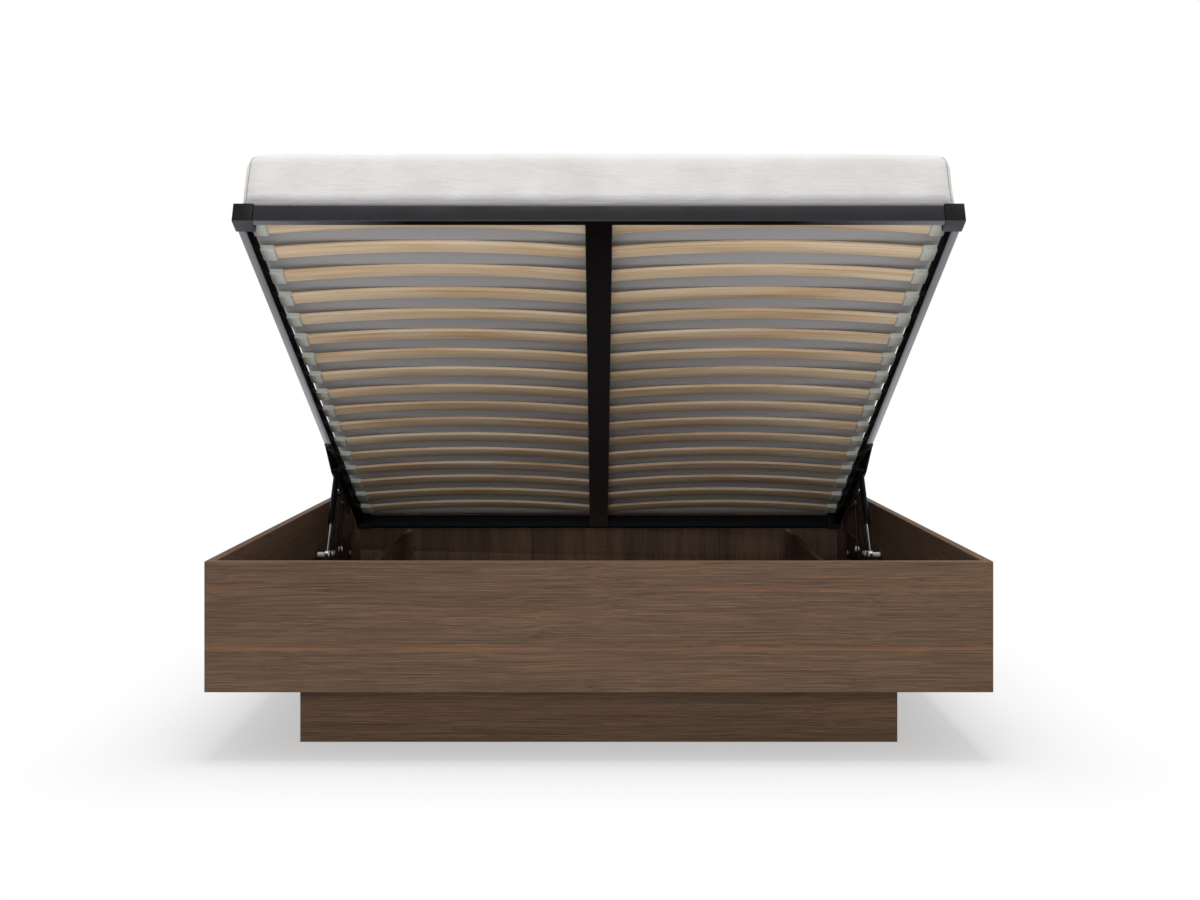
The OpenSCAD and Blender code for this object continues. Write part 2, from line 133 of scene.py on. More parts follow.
@dataclass(frozen=True)
class BaseFrame:
    """The raised base's own frame: Y runs to the head end from 0, and Z up from its underside."""

    tilt: float = math.radians(25.3)
    head_y: float = 0.889
    head_z: float = 0.288

    def to_world(self, points: np.ndarray) -> np.ndarray:
        """Turns points by the tilt about X and moves them to the head end's place.

        Args:
            points: places in the base's frame, with X, Y and Z on the last axis.

        Returns:
            The places in the box's frame.
        """
        cos, sin = math.cos(self.tilt), math.sin(self.tilt)
        x, y, z = points[..., 0], points[..., 1], points[..., 2]
        return np.stack(
            [x, self.head_y + y * cos + z * sin, self.head_z - y * sin + z * cos], axis=-1
        )

    def from_world(self, points: np.ndarray) -> np.ndarray:
        """Undoes to_world.

        Args:
            points: places in the box's frame, with X, Y and Z on the last axis.

        Returns:
            The places in the base's frame.
        """
        cos, sin = math.cos(self.tilt), math.sin(self.tilt)
        y, z = points[..., 1] - self.head_y, points[..., 2] - self.head_z
        return np.stack([points[..., 0], y * cos - z * sin, y * sin + z * cos], axis=-1)

    def underside(self, tree: Tree, where: Socket, level: float) -> Node:
        """Marks what lies under a level of the base: 1 below it, 0 from half a millimetre above.

        Args:
            tree: the node tree.
            where: the Object coordinates.
            level: the height above the base's underside.

        Returns:
            The node that gives the mark.
        """
        up = (0.0, math.sin(self.tilt), math.cos(self.tilt))
        height = add_node(tree, "VectorMath", {"operation": "DOT_PRODUCT", 0: where, 1: up})
        level += self.head_y * up[1] + self.head_z * up[2]
        return add_node(
            tree,
            "MapRange",
            {"Value": height.outputs["Value"], "From Min": level + 0.5 * MM, "From Max": level},
        )


# --- Finishes ---------------------------------------------------------------------------


@dataclass(frozen=True)
class Finish:
    """A finish: a real material and how its surface was made."""

    name: str

    def build(self) -> Material:
        """Makes the material, with its shader fed by what the finish paints.

        Returns:
            The material.
        """
        material = bpy.data.materials.new(self.name)
        material.use_nodes = True
        tree = material.node_tree
        tree.nodes.clear()
        shader = add_node(tree, "BsdfPrincipled", self.paint(tree))
        add_node(tree, "OutputMaterial", {"Surface": shader})
        return material

    def paint(self, tree: Tree) -> dict:
        """Makes the patterns that feed the shader; each finish has its own.

        Args:
            tree: the material's node tree.

        Returns:
            Values, nodes and sockets by the name of the shader's input.
        """
        raise NotImplementedError


class Grain(Enum):
    """The axis that a board's printed grain runs along."""

    ACROSS = 0
    LENGTHWISE = 1
    UPRIGHT = 2

    def scaled(self, along: float, across: float) -> tuple[float, float, float]:
        """Pattern counts per metre on X, Y and Z, for one along the grain and one across it."""
        return tuple(along if axis == self.value else across for axis in range(3))


@dataclass(frozen=True)
class WalnutLaminate(Finish):
    """Walnut print under melamine, pressed on chipboard with shallow pores.

    The eye gets a matt brown with fine dark fibres, short dark pores, a few reddish streaks and
    a change of tone where one printed plank meets the next.
    """

    grain: Grain = Grain.ACROSS
    dark: str = "#35271d"
    middle: str = "#614d3e"
    light: str = "#7f634b"
    red: str = "#8c5f42"
    plank_axis: str = "Z"
    plank_seam: float = 0.242
    plank_width: float = 0.178
    streaks: tuple[float, ...] = ()
    # Rim band: a lighter edge band with painted highlight on boards, painted shadow on the plinth.
    rim: float = 0.42
    rim_depth: float = 2.2 * MM
    rim_band_and_painted_light: str = "#80624a"
    banding: float = 0.14
    drift: float = 16 * MM

    def noise(
        self,
        tree: Tree,
        where: Socket | Node,
        plank: Node,
        along: float,
        across: float,
        detail: float,
        roughness: float = 0.68,
    ) -> Node:
        """Noise stretched along the grain, different on each plank.

        Args:
            tree: the node tree.
            where: the places that it is read at.
            plank: the plank's number.
            along: how often it repeats in a metre along the grain.
            across: how often it repeats in a metre across the grain.
            detail: how many finer layers it has.
            roughness: how strong they are.

        Returns:
            The noise node.
        """
        stretched = add_node(
            tree, "Mapping", {"Vector": where, "Scale": self.grain.scaled(along, across)}
        )
        settings = {"noise_dimensions": "4D", "Scale": 1.0, "Detail": detail}
        settings |= {"Roughness": roughness, "Vector": stretched, "W": plank}
        return add_node(tree, "TexNoise", settings)

    def paint(self, tree: Tree) -> dict:
        """Builds fibres, streaks, bands, pores and a rim band of painted light in the rim's tone.

        Args:
            tree: the material's node tree.

        Returns:
            Values, nodes and sockets by the name of the shader's input.
        """
        where = add_node(tree, "TexCoord").outputs["Object"]
        axes = add_node(tree, "SeparateXYZ", {0: where}).outputs
        reach = axes[self.plank_axis]
        shifted = add_node(tree, "Math", {"operation": "SUBTRACT", 0: reach, 1: self.plank_seam})
        counted = add_node(tree, "Math", {"operation": "DIVIDE", 0: shifted, 1: self.plank_width})
        plank = add_node(tree, "Math", {"operation": "FLOOR", 0: counted})
        # The fibres drift about 6 mm sideways over about 300 mm, as in a sawn board.
        swing = self.noise(tree, where, plank, 3.2, 9.0, 2.0, roughness=0.5).outputs["Color"]
        bent = add_node(
            tree,
            "VectorMath",
            {"operation": "MULTIPLY_ADD", 0: swing, 1: (self.drift,) * 3, 2: where},
        )
        # Fibres 1.5 mm wide, streaks 3 mm wide and broad bands 60 mm wide.
        fibres = self.noise(tree, bent, plank, 5.0, 640.0, 3.0)
        bundles = self.noise(tree, bent, plank, 2.6, 330.0, 4.0)
        bands = self.noise(tree, bent, plank, 1.3, 16.0, 2.0)
        fine = add_node(tree, "Mix", {"data_type": "FLOAT", 0: 0.4, 2: fibres, 3: bundles})
        tone = add_node(tree, "Mix", {"data_type": "FLOAT", 0: self.banding, 2: fine, 3: bands})
        wood = add_node(tree, "ValToRGB", {"Fac": tone})
        set_ramp(wood, [(0.34, self.dark), (0.5, self.middle), (0.64, self.light)])
        warm = add_node(
            tree, "MapRange", {"Value": bands, "From Min": 0.58, "From Max": 0.74, "To Max": 0.13}
        )
        for level in self.streaks:
            warm = self.streaked(tree, axes["Z"], bundles, bands, warm, level)
        # Pores are dashes about 1 mm wide and 45 mm long, and each is a shallow pit.
        pores = self.noise(tree, bent, plank, 22.0, 800.0, 1.0)
        deep = add_node(
            tree, "MapRange", {"Value": pores, "From Min": 0.54, "From Max": 0.72, "To Max": 0.36}
        )
        # Painted light along the rim, in the rim band's tone.
        rim = {"From Min": self.rim - self.rim_depth, "From Max": self.rim - 1.2 * MM}
        band = add_node(tree, "MapRange", {"Value": axes["Z"], **rim, "To Max": 0.45})
        colour = wood.outputs[0]
        for share, tone_to in ((warm, self.red), (deep, self.dark), (band, self.rim_band_and_painted_light)):
            mix = {"data_type": "RGBA", 0: share, 6: colour, 7: linear(tone_to)}
            colour = add_node(tree, "Mix", mix).outputs[2]
        gloss = add_node(tree, "MapRange", {"Value": bundles, "To Min": 0.58, "To Max": 0.75})
        relief = {"Strength": 0.35, "Distance": 0.15 * MM, "invert": True, "Height": deep}
        return {
            "Base Color": colour,
            "Specular IOR Level": 0.14,
            "Roughness": gloss,
            "Normal": add_node(tree, "Bump", relief),
        }

    def streaked(
        self, tree: Tree, level: Socket, bundles: Node, bands: Node, warm: Node, height: float
    ) -> Node:
        """Adds a reddish streak, broken up by the bands, at a height on the board.

        Args:
            tree: the node tree.
            level: the height of the shaded point.
            bundles: noise that frays the streak's edges.
            bands: noise that breaks it up.
            warm: the share of red so far.
            height: the streak's height in metres.

        Returns:
            The share of red with the streak added.
        """
        frayed = add_node(
            tree, "Math", {"operation": "MULTIPLY_ADD", 0: bundles, 1: 14 * MM, 2: -7 * MM}
        )
        moved = add_node(tree, "Math", {"operation": "ADD", 0: level, 1: frayed})
        off = add_node(tree, "Math", {"operation": "SUBTRACT", 0: moved, 1: height})
        away = add_node(tree, "Math", {"operation": "ABSOLUTE", 0: off})
        # It fades over 5 mm from its middle, and the bands part it into lengths.
        narrow = {"From Min": 5 * MM, "From Max": 0.5 * MM, "To Max": 1.1}
        near = add_node(tree, "MapRange", {"Value": away, **narrow})
        broken = {"From Min": 0.4, "From Max": 0.62, "To Max": 0.6}
        share = add_node(tree, "MapRange", {"Value": bands, **broken})
        streak = add_node(tree, "Math", {"operation": "MULTIPLY", 0: near, 1: share})
        return add_node(tree, "Math", {"operation": "MAXIMUM", 0: streak, 1: warm})


@dataclass(frozen=True)
class PowderCoat(Finish):
    """Black polyester powder baked on steel: near black, half gloss, with a faint orange peel.

    It may be greyer towards the head end, or get a pale painted sheen on the underside near the
    base's corners.
    """

    colour: str = "#06080c"
    worn: str = "#0a0d12"
    gloss: tuple[float, float] = (0.26, 0.4)
    ior: float = 1.5
    # A greyer tone for the head end, and the places along Y between which it comes in.
    headward: str = ""
    headward_span: tuple[float, float] = (-0.9, 0.9)
    # A pale tone on the underside, painted sheen, and the distances from the middle where it comes
    # in.
    underside_sheen: str = ""
    underside_sheen_span: tuple[float, float] = (0.42, 0.78)
    frame: BaseFrame = BaseFrame()

    def paint(self, tree: Tree) -> dict:
        """Gives it 1.5 mm orange peel and slow changes of gloss.

        Args:
            tree: the material's node tree.

        Returns:
            Values, nodes and sockets by the name of the shader's input.
        """
        where = add_node(tree, "TexCoord").outputs["Object"]
        axes = add_node(tree, "SeparateXYZ", {0: where}).outputs
        peel = add_node(tree, "TexNoise", {"Scale": 650.0, "Detail": 2.0, "Vector": where})
        clouds = add_node(tree, "TexNoise", {"Scale": 14.0, "Detail": 4.0, "Vector": where})
        tint = add_node(tree, "ValToRGB", {"Fac": clouds})
        set_ramp(tint, [(0.3, self.colour), (0.75, self.worn)])
        span = {"From Min": 0.3, "From Max": 0.7, "To Min": self.gloss[0], "To Max": self.gloss[1]}
        colour = tint.outputs[0]
        if self.headward:
            low, high = self.headward_span
            share = add_node(
                tree, "MapRange", {"Value": axes["Y"], "From Min": low, "From Max": high}
            )
            mix = {"data_type": "RGBA", 0: share, 6: colour, 7: linear(self.headward)}
            colour = add_node(tree, "Mix", mix).outputs[2]
        # Painted sheen: a pale tone on the underside near the base's corners.
        if self.underside_sheen:
            beside = add_node(tree, "Math", {"operation": "ABSOLUTE", 0: axes["X"]})
            low, high = self.underside_sheen_span
            corner = add_node(
                tree, "MapRange", {"Value": beside, "From Min": low, "From Max": high}
            )
            below = self.frame.underside(tree, where, 0.4 * MM)
            share = add_node(tree, "Math", {"operation": "MULTIPLY", 0: corner, 1: below})
            mix = {"data_type": "RGBA", 0: share, 6: colour, 7: linear(self.underside_sheen)}
            colour = add_node(tree, "Mix", mix).outputs[2]
        return {
            "Base Color": colour,
            "IOR": self.ior,
            "Roughness": add_node(tree, "MapRange", {"Value": clouds, **span}),
            "Normal": add_node(
                tree, "Bump", {"Strength": 0.12, "Distance": 0.05 * MM, "Height": peel}
            ),
        }


@dataclass(frozen=True)
class LacqueredTube(Finish):
    """Drawn steel tube, thinly lacquered black, near black on its sides.

    Its underside mirrors pale things at a slant, and its grey there is painted reflection, drawn
    as fine brighter and darker lines along the marks of drawing; the painted reflection gets
    lighter towards the plates, and past them the underside is near black as painted shade.
    """

    frame: BaseFrame = BaseFrame()
    sides: str = "#07080a"
    # The underside's dark and bright lines, grey as painted reflection, and the lighter tone near
    # the plates.
    dark: str = "#2e3036"
    bright: str = "#686a72"
    lighter_reflection: str = "#cfd1da"
    # Where along Y the painted reflection gets lighter, and where painted shade starts at the
    # plates.
    lighter_reflection_span: tuple[float, float] = (-0.6, 0.3)
    plate_shade_span: tuple[float, float] = (0.52, 0.4)
    # The IOR of the sides and of the underside, and one for all of it.
    ior: tuple[float, float] = (1.02, 2.0)
    plain_ior: float = 1.3

    def build(self) -> Material:
        """Makes the material, with a plain IOR for an export that drops the patterned one.

        Returns:
            The material.
        """
        material = super().build()
        shader = material.node_tree.nodes["Principled BSDF"]
        shader.inputs["IOR"].default_value = self.plain_ior
        return material

    def paint(self, tree: Tree) -> dict:
        """Draws lines about 1 mm apart along the tube, in tone, gloss and relief.

        Args:
            tree: the material's node tree.

        Returns:
            Values, nodes and sockets by the name of the shader's input.
        """
        where = add_node(tree, "TexCoord").outputs["Object"]
        axes = add_node(tree, "SeparateXYZ", {0: where}).outputs
        # Painted shade: past the plates the underside gets the sides' near black.
        plates = {"From Min": self.plate_shade_span[0], "From Max": self.plate_shade_span[1]}
        footward = add_node(tree, "MapRange", {"Value": axes["Y"], **plates})
        below = self.frame.underside(tree, where, 0.4 * MM)
        reflecting_underside = add_node(tree, "Math", {"operation": "MULTIPLY", 0: below, 1: footward})
        dark_sides_and_shade = add_node(tree, "Math", {"operation": "SUBTRACT", 0: 1.0, 1: reflecting_underside})
        drawn = add_node(tree, "Mapping", {"Scale": (900.0, 2.0, 4.0), "Vector": where})
        lines = add_node(tree, "TexNoise", {"Scale": 1.0, "Detail": 3.0, "Vector": drawn})
        tint = add_node(tree, "ValToRGB", {"Fac": lines})
        set_ramp(tint, [(0.35, self.dark), (0.7, self.bright)])
        # Painted reflection: the underside's grey gets lighter towards the plates.
        lighter_reflection_run = {"From Min": self.lighter_reflection_span[0], "From Max": self.lighter_reflection_span[1], "To Max": 0.75}
        headward = add_node(tree, "MapRange", {"Value": axes["Y"], **lighter_reflection_run})
        colour = tint.outputs[0]
        for share, tone_to in ((headward, self.lighter_reflection), (dark_sides_and_shade, self.sides)):
            mix = {"data_type": "RGBA", 0: share, 6: colour, 7: linear(tone_to)}
            colour = add_node(tree, "Mix", mix).outputs[2]
        span = {"From Min": 0.3, "From Max": 0.7, "To Min": 0.16, "To Max": 0.34}
        ior = {"To Min": self.ior[0], "To Max": self.ior[1]}
        return {
            "Base Color": colour,
            "IOR": add_node(tree, "MapRange", {"Value": reflecting_underside, **ior}),
            "Roughness": add_node(tree, "MapRange", {"Value": lines, **span}),
            "Normal": add_node(
                tree, "Bump", {"Strength": 0.15, "Distance": 0.05 * MM, "Height": lines}
            ),
        }


@dataclass(frozen=True)
class MouldedPlastic(Finish):
    """Injection-moulded polypropylene, nylon or rubber with a fine spark-eroded grain.

    The eye gets an even satin tone, a little cloudy, that may get a lighter underside as painted
    sheen.
    """

    colour: str = "#2b2d30"
    worn: str = "#36383b"
    roughness: float = 0.5
    depth: float = 0.3
    shine: float = 0.5
    # A lighter tone for the underside, painted sheen, and the level under which it comes in.
    under: str = ""
    under_level: float = 0.0
    frame: BaseFrame = BaseFrame()

    def paint(self, tree: Tree) -> dict:
        """Gives it a 0.8 mm grain and slight clouds of tone, and a lighter underside as painted
        sheen.

        Args:
            tree: the material's node tree.

        Returns:
            Values, nodes and sockets by the name of the shader's input.
        """
        where = add_node(tree, "TexCoord").outputs["Object"]
        clouds = add_node(tree, "TexNoise", {"Scale": 22.0, "Detail": 3.0, "Vector": where})
        tint = add_node(tree, "ValToRGB", {"Fac": clouds})
        set_ramp(tint, [(0.35, self.colour), (0.7, self.worn)])
        grit = add_node(tree, "TexNoise", {"Scale": 1200.0, "Detail": 1.0, "Vector": where})
        span = {"To Min": self.roughness - 0.08, "To Max": self.roughness + 0.08}
        colour = tint.outputs[0]
        # Painted sheen: the lighter tone under the level.
        if self.under:
            below = self.frame.underside(tree, where, self.under_level)
            mix = {"data_type": "RGBA", 0: below, 6: colour, 7: linear(self.under)}
            colour = add_node(tree, "Mix", mix).outputs[2]
        return {
            "Base Color": colour,
            "Specular IOR Level": self.shine,
            "Roughness": add_node(tree, "MapRange", {"Value": clouds, **span}),
            "Normal": add_node(
                tree, "Bump", {"Strength": self.depth, "Distance": 0.05 * MM, "Height": grit}
            ),
        }


@dataclass(frozen=True)
class PlatedSteel(Finish):
    """Hard chrome, or zinc flakes in a clear binder, on steel with fine turning marks.

    The eye gets a near mirror on the rods, and a pale silver grey on the screws and pins.
    """

    colour: str = "#eef0f2"
    dull: str = "#d8dbde"
    roughness: float = 0.42
    metallic: float = 1.0

    def paint(self, tree: Tree) -> dict:
        """Gives the metal a cloudy plating and 0.5 mm marks in its gloss.

        Args:
            tree: the material's node tree.

        Returns:
            Values, nodes and sockets by the name of the shader's input.
        """
        where = add_node(tree, "TexCoord").outputs["Object"]
        clouds = add_node(tree, "TexNoise", {"Scale": 60.0, "Detail": 4.0, "Vector": where})
        tint = add_node(tree, "ValToRGB", {"Fac": clouds})
        set_ramp(tint, [(0.3, self.dull), (0.6, self.colour)])
        marks = add_node(tree, "TexNoise", {"Scale": 2000.0, "Detail": 1.0, "Vector": where})
        span = {"To Min": self.roughness * 0.6, "To Max": self.roughness * 1.4}
        gloss = add_node(tree, "MapRange", {"Value": marks, **span})
        return {"Base Color": tint, "Metallic": self.metallic, "Roughness": gloss}


@dataclass(frozen=True)
class BirchPly(Finish):
    """Steam-bent birch plywood, sanded and thinly lacquered.

    The faces are pale and warm with fine streaks along the slat; the edges show seven plies,
    drawn from the slat's own coordinates in the attribute named slat.
    """

    pale: str = "#f2e2ca"
    warm: str = "#e6caa6"
    dark: str = "#c7a27a"
    glue: str = "#a8865c"
    ply: float = 8 * MM / 7
    edge: float = 23 * MM

    def paint(self, tree: Tree) -> dict:
        """Streaks 1.5, 6 and 45 mm wide on the faces, and a band for each ply on the edges.

        Args:
            tree: the material's node tree.

        Returns:
            Values, nodes and sockets by the name of the shader's input.
        """
        slat = {"attribute_type": "GEOMETRY", "attribute_name": "slat"}
        where = add_node(tree, "Attribute", slat).outputs["Vector"]
        layers = []
        for along, across, detail in ((5.0, 650.0, 2.0), (1.6, 160.0, 4.0), (3.0, 22.0, 2.0)):
            scale = (along, across, across)
            stretched = add_node(tree, "Mapping", {"Scale": scale, "Vector": where})
            settings = {"Scale": 1.0, "Detail": detail, "Distortion": 0.3, "Vector": stretched}
            layers.append(add_node(tree, "TexNoise", settings))
        fine = add_node(tree, "Mix", {"data_type": "FLOAT", 0: 0.6, 2: layers[0], 3: layers[1]})
        tone = add_node(tree, "Mix", {"data_type": "FLOAT", 0: 0.35, 2: fine, 3: layers[2]})
        wood = add_node(tree, "ValToRGB", {"Fac": tone})
        set_ramp(wood, [(0.37, self.dark), (0.5, self.warm), (0.62, self.pale)])
        axes = add_node(tree, "SeparateXYZ", {0: where}).outputs
        counted = add_node(tree, "Math", {"operation": "DIVIDE", 0: axes["Z"], 1: 2 * self.ply})
        cycle = add_node(tree, "Math", {"operation": "FRACT", 0: counted})
        band = add_node(tree, "Math", {"operation": "GREATER_THAN", 0: cycle, 1: 0.5})
        off = add_node(tree, "Math", {"operation": "ABSOLUTE", 0: axes["Y"]})
        # The plies show only on the slat's side and the round just before it.
        near = {"From Min": self.edge - 1.1 * MM, "From Max": self.edge - 0.3 * MM}
        beside = add_node(tree, "MapRange", {"Value": off, **near, "To Max": 0.22})
        share = add_node(tree, "Math", {"operation": "MULTIPLY", 0: band, 1: beside})
        mix = {"data_type": "RGBA", 0: share, 6: wood, 7: linear(self.glue)}
        relief = {"Strength": 0.2, "Distance": 0.1 * MM, "Height": layers[0]}
        return {
            "Base Color": add_node(tree, "Mix", mix).outputs[2],
            "Roughness": add_node(
                tree, "MapRange", {"Value": layers[1], "To Min": 0.42, "To Max": 0.58}
            ),
            "Normal": add_node(tree, "Bump", relief),
        }


@dataclass(frozen=True)
class BeechDowel(Finish):
    """Turned and fluted beech: pale pinkish brown with fine flecks."""

    def paint(self, tree: Tree) -> dict:
        """Draws flecks 1 mm wide along the dowel.

        Args:
            tree: the material's node tree.

        Returns:
            Values, nodes and sockets by the name of the shader's input.
        """
        where = add_node(tree, "TexCoord").outputs["Object"]
        stretched = add_node(tree, "Mapping", {"Scale": (900.0, 60.0, 900.0), "Vector": where})
        flecks = add_node(tree, "TexNoise", {"Scale": 1.0, "Detail": 3.0, "Vector": stretched})
        tint = add_node(tree, "ValToRGB", {"Fac": flecks})
        set_ramp(tint, [(0.35, "#a97f58"), (0.6, "#caa477")])
        return {"Base Color": tint, "Roughness": 0.6}


@dataclass(frozen=True)
class KnitCover(Finish):
    """Cotton jersey stretched over foam: warm white, soft, with small creases where it is pulled.

    The attribute named under gives the share of the greyer tone, painted shade, on the border and
    the underside.
    """

    colour: str = "#efece9"
    shade: str = "#e8e4e0"
    # The greyer tone of the border and the underside, painted shade.
    under: str = "#aaa8a9"

    def paint(self, tree: Tree) -> dict:
        """Creases 40 and 13 mm apart, and wales 4 mm apart, four times too coarse so as to show.

        Args:
            tree: the material's node tree.

        Returns:
            Values, nodes and sockets by the name of the shader's input.
        """
        where = add_node(tree, "TexCoord").outputs["Object"]
        clouds = add_node(tree, "TexNoise", {"Scale": 9.0, "Detail": 5.0, "Vector": where})
        tint = add_node(tree, "ValToRGB", {"Fac": clouds})
        set_ramp(tint, [(0.35, self.shade), (0.6, self.colour)])
        marks = {"attribute_type": "GEOMETRY", "attribute_name": "under"}
        lower = add_node(tree, "Attribute", marks).outputs["Fac"]
        # The border's painted shade is uneven in patches of 110 mm; the top and the underside have
        # none.
        span = {"From Min": 0.3, "From Max": 0.7, "To Min": 1.12, "To Max": 0.88}
        patches = add_node(tree, "MapRange", {"Value": clouds, **span})
        uneven = add_node(
            tree, "Math", {"operation": "MULTIPLY", "use_clamp": True, 0: lower, 1: patches}
        )
        plain = add_node(tree, "Math", {"operation": "MULTIPLY_ADD", 0: lower, 1: 2.0, 2: -1.0})
        share = add_node(tree, "Math", {"operation": "MAXIMUM", 0: uneven, 1: plain})
        mix = {"data_type": "RGBA", 0: share, 6: tint, 7: linear(self.under)}
        knit = {"bands_direction": "X", "Scale": 80.0, "Distortion": 0.6, "Detail": 1.0}
        wales = add_node(tree, "TexWave", {**knit, "Vector": where}).outputs["Fac"]
        relief = add_node(tree, "Bump", {"Strength": 0.1, "Distance": 0.2 * MM, "Height": wales})
        # Wrinkles 13 mm apart and about 70 mm long, then folds 40 mm apart and 100 mm long.
        wrinkles = {"Detail": 2.0, "Roughness": 0.5, "Distortion": 0.9}
        folds = {"Detail": 4.0, "Roughness": 0.55, "Distortion": 1.2}
        for scale, turn, settings, strength, depth in (
            ((14.0, 14.0, 76.0), -0.12, wrinkles, 0.75, 3 * MM),
            ((10.0, 10.0, 26.0), 0.25, folds, 0.5, 6 * MM),
        ):
            pulled = add_node(
                tree, "Mapping", {"Scale": scale, "Rotation": (0.0, turn, 0.0), "Vector": where}
            )
            noise = add_node(tree, "TexNoise", {"Scale": 1.0, **settings, "Vector": pulled})
            height = {"Strength": strength, "Distance": depth, "Height": noise}
            relief = add_node(tree, "Bump", {**height, "Normal": relief})
        return {
            "Base Color": add_node(tree, "Mix", mix).outputs[2],
            "Specular IOR Level": 0.25,
            "Roughness": 0.9,
            "Sheen Weight": 0.25,
            "Sheen Roughness": 0.5,
            "Normal": relief,
        }


# --- Surfaces ---------------------------------------------------------------------------


def add_object(name: str, data: bpy.types.ID) -> Piece:
    """Makes an object at the origin and links it to the scene.

    Args:
        name: the object's name.
        data: its mesh, lamp or camera.

    Returns:
        The object.
    """
    made = bpy.data.objects.new(name, data)
    bpy.context.scene.collection.objects.link(made)
    return made


def eased(t: np.ndarray) -> np.ndarray:
    """A smooth step from 0 to 1: t squared times (3 - 2t), level before 0 and after 1."""
    t = np.clip(t, 0.0, 1.0)
    return t**2 * (3.0 - 2.0 * t)


@dataclass
class Skin:
    """Rings of points gathered into one mesh, each stack of rings a closed surface."""

    points: list[np.ndarray] = field(default_factory=list)
    faces: list[np.ndarray] = field(default_factory=list)
    ends: list[list[int]] = field(default_factory=list)
    notes: list[np.ndarray] = field(default_factory=list)
    count: int = 0

    def add(self, rings: np.ndarray, looped: bool = False, notes: np.ndarray | None = None) -> None:
        """Skins one stack of rings: quad (i, j) joins points j and j + 1 of rings i and i + 1.

        Args:
            rings: points as (rings, points in a ring, 3); each ring is closed.
            looped: joins the last ring to the first, where otherwise each end gets one face.
            notes: a vector for each point, kept as the attribute that the finish reads.
        """
        rows, cols = rings.shape[:2]
        index = self.count + np.arange(rows * cols).reshape(rows, cols)
        beside = np.roll(index, -1, axis=1)
        quads = np.stack(
            [index, beside, np.roll(beside, -1, axis=0), np.roll(index, -1, axis=0)], axis=-1
        )
        if not looped:
            quads = quads[:-1]
            self.ends += [index[0].tolist(), index[-1].tolist()]
        self.faces.append(quads.reshape(-1, 4))
        self.points.append(rings.reshape(-1, 3))
        if notes is not None:
            self.notes.append(notes.reshape(-1, 3))
        self.count += rows * cols

    def make(self, name: str, note: str = "", sharp: float = 35.0) -> Piece:
        """Turns the gathered surfaces into one object with its faces outwards.

        Args:
            name: the piece's name.
            note: the name of the attribute for the notes.
            sharp: edges that turn by more than this many degrees stay crisp.

        Returns:
            The object, at the origin.
        """
        mesh = bpy.data.meshes.new(name)
        faces = [row for block in self.faces for row in block.tolist()] + self.ends
        mesh.from_pydata(np.concatenate(self.points).tolist(), [], faces)
        shell = bmesh.new()
        shell.from_mesh(mesh)
        bmesh.ops.recalc_face_normals(shell, faces=shell.faces)
        shell.to_mesh(mesh)
        shell.free()
        if note:
            values = np.concatenate(self.notes).ravel().astype(np.float32)
            attribute = mesh.attributes.new(note, "FLOAT_VECTOR", "POINT")
            attribute.data.foreach_set("vector", values)
        mesh.shade_smooth()
        mesh.set_sharp_from_angle(angle=math.radians(sharp))
        return add_object(name, mesh)


def rounded_section(width: float, height: float, radius: float, steps: int = 3) -> np.ndarray:
    """A rectangle with round corners about 0: each corner's centre plus radius * (cos, sin).

    Args:
        width: size along the first axis.
        height: size along the second axis.
        radius: radius of the corners.
        steps: parts of each quarter turn.

    Returns:
        The outline's points as (4 * (steps + 1), 2).
    """
    quarter = np.repeat(np.arange(4), steps + 1)
    angle = (quarter + np.tile(np.arange(steps + 1) / steps, 4)) * math.pi / 2
    side_x = np.array([1, -1, -1, 1])[quarter]
    side_y = np.array([1, 1, -1, -1])[quarter]
    x = side_x * (width / 2 - radius) + radius * np.cos(angle)
    y = side_y * (height / 2 - radius) + radius * np.sin(angle)
    return np.stack([x, y], axis=-1)


def turned(profile: np.ndarray, start: np.ndarray, along: np.ndarray, around: int) -> np.ndarray:
    """A profile turned round an axis: start + distance * axis + radius * (cos a, sin a).

    Args:
        profile: pairs of radius and distance along the axis.
        start: the point at distance 0.
        along: the axis, of length 1.
        around: points in a ring.

    Returns:
        Rings of points as (pairs, around, 3).
    """
    side = np.cross(along, [0.0, 0.0, 1.0] if abs(along[2]) < 0.9 else [1.0, 0.0, 0.0])
    side = side / np.linalg.norm(side)
    up = np.cross(along, side)
    angle = np.linspace(0.0, 2 * math.pi, around, endpoint=False)
    ring = np.cos(angle)[:, None] * side + np.sin(angle)[:, None] * up
    radius, distance = profile[:, 0], profile[:, 1]
    return start + distance[:, None, None] * along + radius[:, None, None] * ring[None]


def threaded(path: np.ndarray, radius: float, outward: np.ndarray, around: int = 8) -> np.ndarray:
    """A round cord along a path: each point + radius * (cos a * outward + sin a * sideways).

    Args:
        path: the middle line as (points, 3).
        radius: the cord's radius.
        outward: a direction away from the surface at each point, as (points, 3).
        around: points in a ring.

    Returns:
        Rings of points as (points, around, 3).
    """
    tangent = np.gradient(path, axis=0)
    tangent /= np.linalg.norm(tangent, axis=1, keepdims=True)
    sideways = np.cross(tangent, outward)
    sideways /= np.linalg.norm(sideways, axis=1, keepdims=True)
    normal = np.cross(sideways, tangent)
    angle = np.linspace(0.0, 2 * math.pi, around, endpoint=False)[None, :, None]
    ring = np.cos(angle) * normal[:, None] + np.sin(angle) * sideways[:, None]
    return path[:, None] + radius * ring


def read_points(mesh: bpy.types.Mesh) -> np.ndarray:
    """Reads a mesh's points.

    Args:
        mesh: the mesh.

    Returns:
        The points as (points, 3).
    """
    points = np.empty(len(mesh.vertices) * 3)
    mesh.vertices.foreach_get("co", points)
    return points.reshape(-1, 3)


def read_normals(mesh: bpy.types.Mesh) -> np.ndarray:
    """Reads the normals at a mesh's points.

    Args:
        mesh: the mesh.

    Returns:
        The normals as (points, 3).
    """
    normals = np.empty(len(mesh.vertices) * 3)
    mesh.vertex_normals.foreach_get("vector", normals)
    return normals.reshape(-1, 3)


